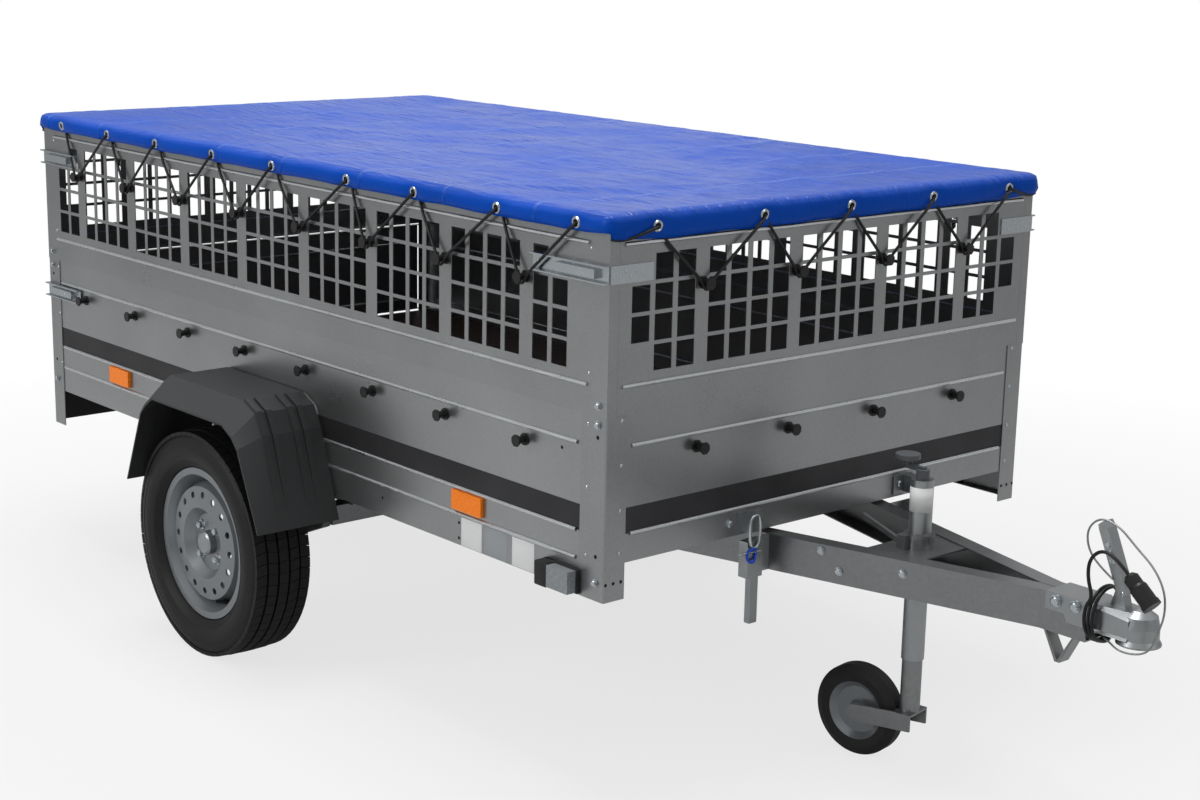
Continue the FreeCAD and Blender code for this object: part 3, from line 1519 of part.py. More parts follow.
def side_reflectors():
    body = new_body("side_reflectors")
    for side, sign in SIDES:
        face = f"-({sign}) * (box_width / 2 - post_sheet)"
        tiles = [
            rectangle(
                f"{middle} - reflector_length / 2",
                "reflector_height - reflector_tall / 2",
                f"{middle} + reflector_length / 2",
                "reflector_height + reflector_tall / 2",
            )
            for middle in ("reflector_front", "reflector_rear")
        ]
        pad(body, outline(body, "XZ", [tiles[0], tiles[1]], face), "reflector_depth", backwards=sign == "1")
    return body


def marker_lamps():
    """The front marker lamps at the foot of the side panels."""
    body = new_body("marker_lamps")
    for side, sign in SIDES:
        face = f"-({sign}) * (box_width / 2)"
        lamp = rectangle(
            "marker_x - marker_length / 2",
            "marker_height - marker_tall / 2",
            "marker_x + marker_length / 2",
            "marker_height + marker_tall / 2",
        )
        pad(body, outline(body, "XZ", [lamp], face), "marker_depth", backwards=sign == "1")
    return body


def tailgate_hinges():
    """Pins on sill brackets that the tailgate's knuckles turn on."""
    body = new_body("tailgate_hinges")
    bracket = "(hinge_length - 2 * hinge_side_gap)"
    for side, sign in SIDES:
        middle = f"{sign} * hinge_spread"
        pin = circles(
            body,
            "XZ",
            [(HINGE_X, "hinge_height", "hinge_pin_radius")],
            f"-({middle}) - hinge_length - hinge_length / 2",
        )
        pad(body, pin, "3 * hinge_length")
        for edge in ("-1", "1"):
            start = f"-({middle}) + {edge} * hinge_length - {bracket} / 2"
            knuckle = circles(body, "XZ", [(HINGE_X, "hinge_height", "hinge_radius")], start)
            pad(body, knuckle, bracket)
            leaf = rectangle(
                f"{HINGE_X} - hinge_radius",
                "sill_foot + sill_margin",
                "-box_length / 2 + post_sheet + seam_gap",
                "hinge_height",
            )
            pad(body, outline(body, "XZ", [leaf], start), bracket)
    return body


# Electric cable with its plug, and the safety wire

CORD_CORNERS = {
    "cable_start": ((1799, 39, 426), (1842, 39, 426), (1884, 42, 424), (1905, 8, 412), (1906, -34, 422)),
    "cable_end": ((1903, -54, 512), (1887, -52, 547), (1888, -52, 584), (1914, -55, 609), (1950, -60, 606)),
    "wire": (
        (1882, -18, 437),
        (1922, -31, 433),
        (1968, -48, 419),
        (2026, -42, 430),
        (2038, -34, 476),
        (2049, -34, 514),
        (2042, -30, 556),
        (2010, -22, 592),
        (1966, -19, 620),
        (1928, -19, 650),
        (1886, -19, 660),
        (1856, -19, 634),
        (1858, -19, 596),
        (1884, -19, 566),
        (1919, -16.5, 545),
    ),
}
for name, corners in CORD_CORNERS.items():
    for number, corner in enumerate(corners):
        for axis, value in zip("xyz", corner):
            row += 1
            sheet.set(f"A{row}", f"{name}_{number}_{axis}")
            sheet.set(f"B{row}", str(float(value)))
            sheet.setAlias(f"B{row}", f"{name}_{number}_{axis}")
doc.recompute()


def size(name):
    """The sheet's value of a size, in millimetres or degrees."""
    return float(sheet.get(name))


def corners_of(name):
    """A cord's corners from the sheet."""
    count = len(CORD_CORNERS[name])
    return [Vector(*[size(f"{name}_{number}_{axis}") for axis in "xyz"]) for number in range(count)]


TANGENT_SHARE = 0.45
CORD_SIDES = 8
LOOP_TURNS = 2
LOOP_SIDES = 8


def cord(name, corners, radius):
    """A free cord of round section: straight runs joined by tangent arcs."""
    edges = []
    start = corners[0]
    tightest = None
    for before, corner, after in zip(corners, corners[1:], corners[2:]):
        back = before - corner
        ahead = after - corner
        reach = TANGENT_SHARE * min(back.Length, ahead.Length)
        half_turn = (math.pi - back.getAngle(ahead)) / 2
        bend = reach / math.tan(half_turn)
        tightest = min(bend, tightest or bend)
        back.normalize()
        ahead.normalize()
        inward = back + ahead
        inward.normalize()
        first = corner + back * reach
        last = corner + ahead * reach
        middle = corner + inward * (bend / math.cos(half_turn) - bend)
        edges.append(Part.LineSegment(start, first).toShape())
        edges.append(Part.Arc(first, middle, last).toShape())
        start = last
    edges.append(Part.LineSegment(start, corners[-1]).toShape())
    line = Part.Wire(edges)
    exit_way = corners[1] - corners[0]
    across = exit_way.cross(Vector(0, 0, 1)).normalize()
    upwards = across.cross(exit_way).normalize()
    turns = [2 * math.pi * step / CORD_SIDES for step in range(CORD_SIDES + 1)]
    spokes = [across * math.cos(turn) + upwards * math.sin(turn) for turn in turns]
    section_line = Part.makePolygon([corners[0] + spoke * radius for spoke in spokes])
    tube = line.makePipeShell([section_line], True, False)
    node = doc.addObject("Part::Feature", name)
    node.Label = name
    node.Shape = tube
    place(node)
    NODES.append(node)
    section = CORD_SIDES / 2 * radius ** 2 * math.sin(2 * math.pi / CORD_SIDES)
    fill = tube.Volume / (section * line.Length)
    print(f"{name}: length {line.Length:.1f}, tightest bend {tightest:.1f}, fill {fill:.3f}")


def electric_cable():
    """The lamp cable: clipped along the left arm, twice round the neck and up to its plug."""
    loops = []
    for step in range(LOOP_TURNS * LOOP_SIDES + 2):
        turn = 2 * math.pi * (step - 0.5) / LOOP_SIDES
        along = size("loop_ahead") - size("loop_pitch") * step / LOOP_SIDES
        across = -size("loop_radius") * math.cos(turn)
        loops.append(Vector(along, across, size("loop_height") + size("loop_radius") * math.sin(turn)))
    plug = Vector(size("plug_x"), size("plug_y"), size("plug_z"))
    corners = corners_of("cable_start") + loops + corners_of("cable_end") + [plug]
    cord("electric_cable", corners, size("cable_radius"))


def plug():
    """The round plug at the cable's end, which rests across the nose of the coupling."""
    body = new_body("plug")
    body.Placement = FreeCAD.Placement(Vector(0, 0, 0), FreeCAD.Rotation(Vector(0, 1, 0), size("plug_slope")))
    place(body, "plug_x", "plug_y", "plug_z")
    body.setExpression(".Placement.Rotation.Angle", formula("plug_slope"))
    section = [
        ("0", "0"),
        ("0", "plug_neck_radius"),
        ("plug_ring_start", "plug_ring_radius"),
        ("plug_ring_end", "plug_ring_radius"),
        ("plug_body_start", "plug_radius"),
        ("plug_cap_start", "plug_radius"),
        ("plug_cap_start", "plug_cap_radius"),
        ("plug_length", "plug_cap_radius"),
        ("plug_length", "0"),
    ]
    turned(body, outline(body, "XZ", [section]))
    return body


for side, sign in SIDES:
    side_panel(side, sign)
front_panel()
floor()
floor_bearers()
corner_posts("front_posts", "1", "front_post_foot", "front_post_side", "front_post_face")
corner_posts("rear_posts", "-1", "rear_post_foot", "rear_post_side", "rear_post_face")
tailgate()
tailgate_hinges()
rear_sill()
for side, sign in SIDES:
    mesh_side(side, sign)
mesh_end("mesh_front", "1")
mesh_end("mesh_rear", "-1")
lacing_knobs("lacing_knobs_upper", "knob_upper", "0", True)
lacing_knobs("lacing_knobs_lower", "knob_lower", "post_sheet", False)
tailgate_knobs()
cover()
corner_latches()
tailgate_latches()
lamp_bar()
rear_lamps()
side_reflectors()
marker_lamps()
axle_tube()
axle_hangers()
for side, sign in SIDES:
    fender(side, sign)
    swing_arm(side, sign)
    hub(side, sign)
    rim(side, sign)
    tyre(side, sign)
    drawbar_arm(side, sign)
cross_plate()
coupling()
coupling_handle()
drawbar_foot()
jockey_clamp()
jockey_outer_tube()
jockey_crank()
jockey_leg()
jockey_rim()
jockey_tyre()
tilt_latches()
tilt_keepers()
electric_cable()
plug()
cord("safety_wire", corners_of("wire"), size("wire_radius"))

doc.recompute()

broken = [item.Label for item in doc.Objects if {"Invalid", "Error"} & set(item.State)]
for node in NODES:
    if node.Shape.isNull() or not node.Shape.isValid():
        broken.append(node.Label)
if broken:
    raise RuntimeError("Not built: " + ", ".join(sorted(set(broken))))

os.makedirs("parts", exist_ok=True)
for node in NODES:
    node.Shape.exportStep(os.path.join("parts", node.Label + ".step"))
print(len(NODES), "sub-parts")
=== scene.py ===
# %% [markdown]
# # Utility trailer
#
# A single-axle trailer: a galvanised sheet box with mesh extensions, a blue cover laced down
# to knobs, moulded fenders, a V drawbar with a ball coupling and a jockey wheel.  The CAD frame
# gives the metal.  This lesson adds the cords, the cloth, the tyre treads, the small fittings
# and the finishes.  Lengths are metres.  Places on the box are given in millimetres from the
# middle of the load box, with X forward, Y to the left and Z up from the ground.

import math

import bmesh
import bpy
from mathutils import Matrix, Vector, noise


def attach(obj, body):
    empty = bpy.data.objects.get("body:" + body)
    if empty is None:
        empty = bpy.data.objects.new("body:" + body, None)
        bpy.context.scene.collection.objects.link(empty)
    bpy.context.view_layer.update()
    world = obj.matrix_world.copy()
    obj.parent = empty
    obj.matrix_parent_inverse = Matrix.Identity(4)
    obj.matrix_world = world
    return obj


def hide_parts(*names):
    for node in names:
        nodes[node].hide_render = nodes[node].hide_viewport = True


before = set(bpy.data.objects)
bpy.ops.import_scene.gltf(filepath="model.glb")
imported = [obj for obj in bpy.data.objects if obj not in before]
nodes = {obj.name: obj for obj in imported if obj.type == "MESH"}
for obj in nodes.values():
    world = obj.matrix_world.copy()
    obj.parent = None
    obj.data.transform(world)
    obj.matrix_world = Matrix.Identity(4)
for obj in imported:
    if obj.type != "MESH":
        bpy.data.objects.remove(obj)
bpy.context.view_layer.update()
print(len(nodes), "CAD nodes")

# %% [markdown]
# ## Sizes
#
# The sizes that the added pieces share with the CAD frame, in millimetres.

# %% Sizes
ORIGIN_AHEAD = 403.0
HALF_LENGTH = 1175.0
HALF_WIDTH = 642.0
MESH_TOP = 1190.0
SIDE_EYELETS = (-1054, -799, -548, -273, -5, 301, 552, 836, 1084)
END_EYELETS = (-529, -238, 19, 281, 542)
SIDE_KNOBS = tuple(-22 + 270 * (number - 3.5) for number in range(8))
END_KNOBS = tuple(265 * (number - 1.5) for number in range(4))
KNOB_HEIGHT = 1043.0
KNOB_REACH = 13.0
WHEEL_AHEAD, WHEEL_OUT, WHEEL_RADIUS = -77.0, 758.0, 273.5
SIDES = (("right", -1), ("left", 1))
ALONG_X, ALONG_Y, UP = Vector((1, 0, 0)), Vector((0, 1, 0)), Vector((0, 0, 1))


def at(x, y, z):
    """A point in the frame from millimetres about the middle of the load box."""
    return Vector(((x - ORIGIN_AHEAD) / 1000, y / 1000, z / 1000))


print("box of", HALF_LENGTH * 2, "by", HALF_WIDTH * 2, "mm")

# %% [markdown]
# ## Camera
#
# The camera stands where the photograph was taken: ahead of the trailer on its right, a little
# above the cover, with a moderately long lens.  It comes first because the cords are judged by
# what it sees.

# %% Camera
YAW, PITCH, ROLL = 2.4241, -0.2283, 0.0209
CAMERA_PLACE = (3.6746, -3.1933, 1.7347)
CAMERA_LENS, SENSOR = 61.84, 36.0
flat_way = Vector((math.cos(YAW), math.sin(YAW), 0))
forward = math.cos(PITCH) * flat_way + math.sin(PITCH) * UP
right = Vector((math.sin(YAW), -math.cos(YAW), 0))
up = right.cross(forward)
turned_right = math.cos(ROLL) * right + math.sin(ROLL) * up
turned_up = math.cos(ROLL) * up - math.sin(ROLL) * right
camera = bpy.data.objects.new("camera", bpy.data.cameras.new("camera"))
camera.data.lens = CAMERA_LENS
camera.data.sensor_width = SENSOR
facing = Matrix((turned_right, turned_up, -forward)).transposed().to_4x4()
camera.matrix_world = Matrix.Translation(CAMERA_PLACE) @ facing
bpy.context.scene.collection.objects.link(camera)
bpy.context.scene.camera = camera
bpy.context.scene.view_settings.view_transform = "Standard"
print("camera", tuple(round(value, 3) for value in camera.matrix_world.translation))

# %% [markdown]
# ## Materials
#
# Each finish is a Principled shader with its own procedural pattern, scaled from real sizes.
# Colours are written as sRGB hex codes and turned to linear light by one function.

# %% Material helpers
def linear(code):
    """An sRGB hex colour as linear RGBA."""
    parts = [int(code[place:place + 2], 16) / 255 for place in (1, 3, 5)]
    return [
        part / 12.92 if part <= 0.04045 else ((part + 0.055) / 1.055) ** 2.4 for part in parts
    ] + [1.0]


def add(tree, kind, links=None, **values):
    """Adds one shader node, sets its properties and inputs, and links sockets into it."""
    made = tree.nodes.new("ShaderNode" + kind)
    for name, value in values.items():
        if hasattr(made, name):
            setattr(made, name, value)
        else:
            made.inputs[name.replace("_", " ")].default_value = value
    for name, socket in (links or {}).items():
        tree.links.new(socket, made.inputs[name])
    return made


def finish(name, colour, roughness, metallic=0.0, **more):
    """A new material with its tree, its Principled node and the object coordinates."""
    material = bpy.data.materials.new(name)
    material.use_nodes = True
    tree = material.node_tree
    shader = tree.nodes["Principled BSDF"]
    shader.inputs["Base Color"].default_value = linear(colour)
    shader.inputs["Roughness"].default_value = roughness
    shader.inputs["Metallic"].default_value = metallic
    for key, value in more.items():
        shader.inputs[key.replace("_", " ")].default_value = value
    coords = add(tree, "TexCoord").outputs["Object"]
    return material, tree, shader, coords


def clouded(tree, coords, scale, detail):
    """Soft noise, from 0 to 1."""
    clouds = add(tree, "TexNoise", {"Vector": coords}, Scale=scale, Detail=detail)
    return clouds.outputs["Fac"]


def mixed(tree, factor, first, second):
    """A colour between two by a factor socket."""
    mix = add(tree, "Mix", data_type="RGBA")
    tree.links.new(factor, mix.inputs["Factor"])
    for slot, value in ((6, first), (7, second)):
        if isinstance(value, str):
            mix.inputs[slot].default_value = linear(value)
        else:
            tree.links.new(value, mix.inputs[slot])
    return mix.outputs[2]


def tinted(tree, shader, factor, first, second):
    """Gives the shader a colour between two."""
    tree.links.new(mixed(tree, factor, first, second), shader.inputs["Base Color"])


def ranged(tree, socket, low, high, to_low=0.0, to_high=1.0):
    """A value moved from one range to another, clamped."""
    limits = {"From_Min": low, "From_Max": high, "To_Min": to_low, "To_Max": to_high}
    return add(tree, "MapRange", {"Value": socket}, **limits).outputs["Result"]


def maths(tree, operation, first, second=None):
    """One sum on sockets or numbers."""
    made = add(tree, "Math", operation=operation)
    for place, value in enumerate((first, second)):
        if isinstance(value, (int, float)):
            made.inputs[place].default_value = value
        elif value is not None:
            tree.links.new(value, made.inputs[place])
    return made.outputs[0]


def stretched(tree, coords, turn, scale):
    """Coordinates turned about the upright and scaled, for a pattern that runs one way."""
    turned = (0, 0, math.radians(turn))
    return add(tree, "Mapping", {"Vector": coords}, Rotation=turned, Scale=scale).outputs["Vector"]


def bumped(tree, shader, height, distance, strength):
    """Height into the shader's normal."""
    bump = add(tree, "Bump", {"Height": height}, Distance=distance, Strength=strength)
    tree.links.new(bump.outputs["Normal"], shader.inputs["Normal"])


# %% [markdown]
# ### Zinc-coated steel
#
# The sheets are hot-dip galvanised and rolled smooth, so the zinc's crystals are a few millimetres
# wide and barely show: the eye sees a quiet grey with slow cloudy patches and a very fine grain.
# The stripe is a matt film, drawn as a mask between two heights of the outer face.

# %% Galvanised sheet
ZINC_METALLIC = 0.92
STRIPE_LOW, STRIPE_HIGH = 0.557, 0.611
STRIPE_COLOURS = ("#353537", "#4a4a4c")
STRIPE_ROUGHNESS = 0.5
SIDE_FACE, FRONT_FACE = 0.6392, 0.7692
PATCHES = (0.3, 0.95)


def galvanised(name, light, dark, roughness=0.31, cell=0.004, stripe=None):
    """Zinc with a faint spangle and cloudy patches; a stripe is the axis and place of a face."""
    material, tree, shader, coords = finish(name, light, roughness, ZINC_METALLIC)
    crystals = add(tree, "TexVoronoi", {"Vector": coords}, Scale=1 / cell)
    shade = add(tree, "SeparateColor", {"Color": crystals.outputs["Color"]})
    faint = maths(tree, "MULTIPLY", shade.outputs["Red"], 0.22)
    both = maths(tree, "ADD", faint, clouded(tree, coords, 3.2, 3.0))
    colour = mixed(tree, ranged(tree, both, *PATCHES), dark, light)
    rough = ranged(tree, both, *PATCHES, roughness - 0.04, roughness + 0.04)
    if stripe:
        colour, rough = striped(tree, coords, *stripe, colour, rough)
    tree.links.new(colour, shader.inputs["Base Color"])
    tree.links.new(rough, shader.inputs["Roughness"])
    bumped(tree, shader, clouded(tree, coords, 420.0, 2.0), 0.0001, 0.2)
    return material


def striped(tree, coords, axis, face, colour, rough):
    """A printed dark stripe between two heights on the outer face only."""
    parts = add(tree, "SeparateXYZ", {"Vector": coords})
    out = maths(tree, "GREATER_THAN", maths(tree, "ABSOLUTE", parts.outputs[axis]), face)
    above = maths(tree, "GREATER_THAN", parts.outputs["Z"], STRIPE_LOW)
    below = maths(tree, "LESS_THAN", parts.outputs["Z"], STRIPE_HIGH)
    whole = maths(tree, "MULTIPLY", maths(tree, "MULTIPLY", out, above), below)
    film = mixed(tree, clouded(tree, coords, 9.0, 2.0), *STRIPE_COLOURS)
    matt = add(tree, "Mix", {"Factor": whole, "A": rough}, data_type="FLOAT")
    matt.inputs["B"].default_value = STRIPE_ROUGHNESS
    return mixed(tree, whole, colour, film), matt.outputs[0]


sheet_metal = galvanised("galvanised_sheet", "#9d9fa0", "#8d8f90")
side_metal = galvanised("galvanised_striped_side", "#a1a3a4", "#919394", stripe=("Y", SIDE_FACE))
front_metal = galvanised("galvanised_striped_front", "#9d9fa0", "#8d8f90", stripe=("X", FRONT_FACE))
frame_metal = galvanised("galvanised_steel", "#8c8e8f", "#7c7e7f", 0.34, 0.007)
print("stripe from", STRIPE_LOW, "to", STRIPE_HIGH)


# %% [markdown]
# ### Plated and painted steel
#
# Latches, bolts and rings are bright zinc plate, which is a mirror with a little cloud in it.
# The wheels are sprayed with silver paint, so they are half metal under a fine flake.

# %% Plated and painted steel
def plated(name, colour, roughness):
    """Bright zinc plate with faint cloudiness."""
    material, tree, shader, coords = finish(name, colour, roughness, 1.0)
    clouds = clouded(tree, coords, 40.0, 4.0)
    rough = ranged(tree, clouds, 0.3, 0.7, roughness - 0.06, roughness + 0.1)
    tree.links.new(rough, shader.inputs["Roughness"])
    return material


zinc_plate = plated("zinc_plate", "#b3b9bd", 0.22)
ZINC = ("zinc_plated_steel", zinc_plate)
dull_zinc = plated("dull_zinc", "#999c9e", 0.34)
wire_rope = plated("steel_wire_rope", "#8e9090", 0.42)
silver_paint, tree, shader, coords = finish("silver_wheel_paint", "#7d8184", 0.3, 0.6)
tinted(tree, shader, clouded(tree, coords, 900.0, 1.0), "#75797c", "#85898c")
print(len(bpy.data.materials), "metals")


# %% [markdown]
# ### Plastics, rubber and wood
#
# Moulded parts have a fine grain that breaks the gloss.  The real one would vanish at this
# distance, so it is drawn one to four millimetres wide.

# %% Plastics, rubber and wood
SOFT_GLOSS = 0.3


def grained(name, colour, second, roughness, cell, depth):
    """A moulded surface with a fine grain, which keeps its gloss low."""
    material, tree, shader, coords = finish(name, colour, roughness, Specular_IOR_Level=SOFT_GLOSS)
    grain = clouded(tree, coords, 1 / cell, 3.0)
    tinted(tree, shader, grain, colour, second)
    bumped(tree, shader, grain, depth, 0.5)
    return material


fender_plastic = grained("black_fender_plastic", "#2b2c2d", "#363738", 0.5, 0.0022, 0.0003)
black_plastic = grained("black_plastic", "#141415", "#1e1e20", 0.4, 0.0015, 0.0001)
lamp_plastic = grained("dark_lamp_plastic", "#161617", "#202021", 0.45, 0.003, 0.0002)
tyre_rubber = grained("tyre_rubber", "#0b0b0c", "#121213", 0.55, 0.004, 0.0002)
wheel_rubber = grained("wheel_rubber", "#151516", "#1f1f20", 0.6, 0.003, 0.0002)
cord_rubber = grained("black_cord_rubber", "#101011", "#19191a", 0.42, 0.0012, 0.0002)
grey_plastic = grained("grey_cap_plastic", "#4b4d50", "#565a5d", 0.42, 0.002, 0.0001)
blue_plastic = grained("blue_tie_plastic", "#0d43b8", "#1550cc", 0.4, 0.002, 0.0001)
label_paper = grained("white_label_film", "#d7d8d8", "#dfe0e0", 0.35, 0.004, 0.00005)
grey_label = grained("grey_label_film", "#8d9296", "#979ca0", 0.3, 0.004, 0.00005)
# Painted shade: discs of this stand for the dark inside of holes.
painted_hole_shade = grained("painted_hole_shade", "#08080a", "#0c0c0e", 0.8, 0.004, 0.0001)

plywood, tree, shader, coords = finish("film_faced_plywood", "#3b2a1e", 0.5)
waves = add(tree, "TexWave", {"Vector": coords}, Scale=6.0, Distortion=9.0, Detail=3.0)
tinted(tree, shader, waves.outputs["Fac"], "#33241a", "#4a3626")
bumped(tree, shader, waves.outputs["Fac"], 0.0003, 0.3)
print(len(bpy.data.materials), "materials with plastics and wood")


# %% [markdown]
# ### Lamp lenses
#
# A lens is moulded with small prisms that break the light, so its colour changes cell by cell.

# %% Lamp lenses
PRISM = 0.005


def lens(name, colour, light):
    """A moulded lens with fine prisms, lighter between them."""
    material, tree, shader, coords = finish(name, colour, 0.28, Specular_IOR_Level=SOFT_GLOSS)
    prisms = add(tree, "TexVoronoi", {"Vector": coords}, Scale=1 / PRISM).outputs["Distance"]
    tinted(tree, shader, ranged(tree, prisms, 0.0, 0.8), colour, light)
    bumped(tree, shader, prisms, 0.0006, 0.4)
    return material


amber_lens = lens("amber_lens", "#ee6c00", "#ff8a04")
red_lens = lens("red_lens", "#8f0f12", "#c01c1e")
clear_lens = lens("clear_lens", "#72767a", "#8b9093")
print(len(bpy.data.materials), "materials with lenses")

# %% [markdown]
# ### Coated cloth
#
# The cover is woven polyester coated with blue vinyl: a smooth, half-glossy skin.  It was packed
# folded, so straight fold lines cross it every 300 mm; on the top they are tinted a paler blue, a
# painted highlight along each fold.  Handling gave it long shallow creases that lean both ways and
# fade on the flap, which is pulled smooth.  Both are bumps, finer than the sheet's mesh, which has
# the large waves.

# %% Coated cloth
CREASES = (
    (24, (2.2, 13.0, 6.0), 4.0), (-31, (2.6, 16.0, 6.0), 4.0), (78, (3.0, 18.0, 6.0), 3.0),
)
CREASE_WIDTH, FOLD_WIDTH = 0.07, 0.007
HALF_FOLD_STEP = 0.15
UPWARD = (0.3, 0.9)
CLOTH_BUMP = 0.004

cover_cloth, tree, shader, coords = finish(
    "blue_coated_cloth", "#0643ae", 0.32, Specular_IOR_Level=SOFT_GLOSS
)
clouds = clouded(tree, coords, 4.0, 4.0)
tree.links.new(ranged(tree, clouds, 0.3, 0.7, 0.27, 0.42), shader.inputs["Roughness"])
crumple = 0.0
for turn, scale, detail in CREASES:
    crease = add(
        tree, "TexNoise", {"Vector": stretched(tree, coords, turn, scale)},
        Scale=1.0, Detail=detail, Distortion=0.6,
    ).outputs["Fac"]
    ridge = maths(tree, "ABSOLUTE", maths(tree, "SUBTRACT", crease, 0.5))
    crumple = maths(tree, "ADD", crumple, ranged(tree, ridge, 0.0, CREASE_WIDTH, 1.0, 0.0))
along = add(tree, "SeparateXYZ", {"Vector": coords}).outputs["X"]
along = maths(tree, "ADD", along, maths(tree, "MULTIPLY", clouded(tree, coords, 1.6, 1.0), 0.09))
fold = ranged(tree, maths(tree, "PINGPONG", along, HALF_FOLD_STEP), 0.0, FOLD_WIDTH, 1.0, 0.0)
normal = add(tree, "NewGeometry").outputs["Normal"]
upward = add(tree, "SeparateXYZ", {"Vector": normal}).outputs["Z"]
gloss = ranged(tree, upward, *UPWARD, 0.06, SOFT_GLOSS)
tree.links.new(gloss, shader.inputs["Specular IOR Level"])
# Painted highlight: the fold lines on the top are tinted a paler blue.
fold_highlight = maths(tree, "MULTIPLY", fold, ranged(tree, upward, *UPWARD))
blue = mixed(tree, clouds, "#043f9f", "#084ab4")
tinted(tree, shader, maths(tree, "MULTIPLY", fold_highlight, 0.3), blue, "#7f9fe0")
crumple = maths(tree, "MULTIPLY", crumple, ranged(tree, upward, *UPWARD, 0.15))
heights = maths(tree, "MULTIPLY", maths(tree, "ADD", fold, crumple), 0.5)
weave = maths(tree, "MULTIPLY", clouded(tree, coords, 320.0, 2.0), 0.012)
bumped(tree, shader, maths(tree, "ADD", heights, weave), CLOTH_BUMP, 0.9)
print("fold lines every", 2 * HALF_FOLD_STEP, "m")

# %% [markdown]
# ### Finishes on the frame
#
# Every CAD node gets one of these finishes.

# %% Finish the CAD nodes
FINISHES = {
    sheet_metal: "tailgate rear_sill floor_bearers front_posts rear_posts"
    " mesh_side_right mesh_side_left mesh_front mesh_rear",
    side_metal: "side_panel_right side_panel_left",
    front_metal: "front_panel",
    frame_metal: "tailgate_hinges axle_tube axle_hangers swing_arm_right swing_arm_left"
    " drawbar_arm_right drawbar_arm_left drawbar_cross_plate drawbar_foot jockey_leg jockey_clamp",
    silver_paint: "rim_right rim_left jockey_rim",
    dull_zinc: "hub_right hub_left tilt_keepers tilt_latches coupling coupling_handle"
    " jockey_outer_tube",
    zinc_plate: "corner_latches tailgate_latches",
    plywood: "floor",
    fender_plastic: "fender_right fender_left",
    black_plastic: "lacing_knobs_upper lacing_knobs_lower tailgate_knobs plug",
    grey_plastic: "jockey_crank",
    lamp_plastic: "lamp_bar",
    cover_cloth: "cover",
    tyre_rubber: "tyre_right tyre_left",
    wheel_rubber: "jockey_tyre",
    red_lens: "rear_lamps",
    amber_lens: "side_reflectors",
    clear_lens: "marker_lamps",
    cord_rubber: "electric_cable",
    wire_rope: "safety_wire",
}
for material, names in FINISHES.items():
    for name in names.split():
        nodes[name].data.materials.clear()
        nodes[name].data.materials.append(material)
print(sum(len(names.split()) for names in FINISHES.values()), "nodes finished")

# %% [markdown]
# ## Cable and safety wire
#
# The cable comes out of the left arm, hangs round the coupling's neck in two loops and ends in its
# plug, which is tucked beside the handle.  The safety wire starts under the coupling, comes round
# its nose, over the handle and back to its foot.  Each is one NURBS curve with a round bevel,
# because a spline bends as a real cord does, without corners.

# %% Curve helper
def cord_curve(name, lines, radius, body, slot, material, cyclic=False):
    """Smooth round cords along lines of control points, as one curve object."""
    curve = bpy.data.curves.new(name, "CURVE")
    curve.dimensions = "3D"
    curve.bevel_depth = radius
    curve.bevel_resolution = 3
    curve.resolution_u = 6
    curve.use_fill_caps = True
    for line in lines:
        spline = curve.splines.new("NURBS")
        spline.points.add(len(line) - 1)
        for point, place in zip(spline.points, line):
            point.co = (*place, 1.0)
        spline.order_u = 3
        spline.use_endpoint_u = not cyclic
        spline.use_cyclic_u = cyclic
    made = bpy.data.objects.new(name, curve)
    bpy.context.scene.collection.objects.link(made)
    curve.materials.append(material)
    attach(made, body)
    return made


# %% Electric cable and safety wire
NECK = (
    (-0.054, 0.4456), (-0.054, 0.4904), (-0.0224, 0.522), (0.0224, 0.522),
    (0.054, 0.4904), (0.054, 0.4456), (0.0224, 0.414), (-0.0224, 0.414),
)
NECK_AHEAD, LOOP_PITCH, LOOP_POINTS = 1.503, 0.009, 18
CABLE_ROUTE = (
    (1.396, 0.039, 0.426), (1.439, 0.039, 0.426), (1.481, 0.042, 0.424), (1.502, 0.008, 0.412),
    (1.503, -0.034, 0.422),
    *((NECK_AHEAD - LOOP_PITCH * step / 8, *NECK[step % 8]) for step in range(LOOP_POINTS)),
    (1.5, -0.054, 0.512), (1.484, -0.052, 0.547), (1.485, -0.052, 0.584), (1.511, -0.055, 0.609),
    (1.547, -0.06, 0.606), (1.579, -0.06, 0.5785),
)
WIRE_ROUTE = (
    (1.479, -0.018, 0.437), (1.519, -0.031, 0.433), (1.565, -0.048, 0.419), (1.623, -0.042, 0.43),
    (1.635, -0.034, 0.476), (1.646, -0.034, 0.514), (1.639, -0.03, 0.556), (1.607, -0.022, 0.592),
    (1.563, -0.019, 0.62), (1.525, -0.019, 0.65), (1.483, -0.019, 0.66), (1.453, -0.019, 0.634),
    (1.455, -0.019, 0.596), (1.481, -0.019, 0.566), (1.516, -0.0165, 0.545),
)
cable = cord_curve("trailer_cable", [CABLE_ROUTE], 0.0035, "drawbar", "cable_rubber", cord_rubber)
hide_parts("electric_cable")
wire = cord_curve("breakaway_wire", [WIRE_ROUTE], 0.002, "drawbar", "steel_wire", wire_rope)
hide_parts("safety_wire")
print("cable of", len(CABLE_ROUTE), "points, wire of", len(WIRE_ROUTE))

# %% [markdown]
# ## Building pieces
#
# Added pieces are built by bmesh operators in the frame's coordinates, so each object sits at the
# origin, as the CAD nodes do.  A ray sets each small fitting on the real face, so none floats.


# %% Piece helpers
def piece(name, bm, body, slot, material, angle=40):
    """Makes an object from a bmesh, shades it and lets it ride on a CAD body."""
    bmesh.ops.recalc_face_normals(bm, faces=bm.faces[:])
    mesh = bpy.data.meshes.new(name)
    bm.to_mesh(mesh)
    bm.free()
    made = bpy.data.objects.new(name, mesh)
    bpy.context.scene.collection.objects.link(made)
    mesh.materials.append(material)
    mesh.shade_smooth()
    mesh.set_sharp_from_angle(angle=math.radians(angle))
    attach(made, body)
    return made


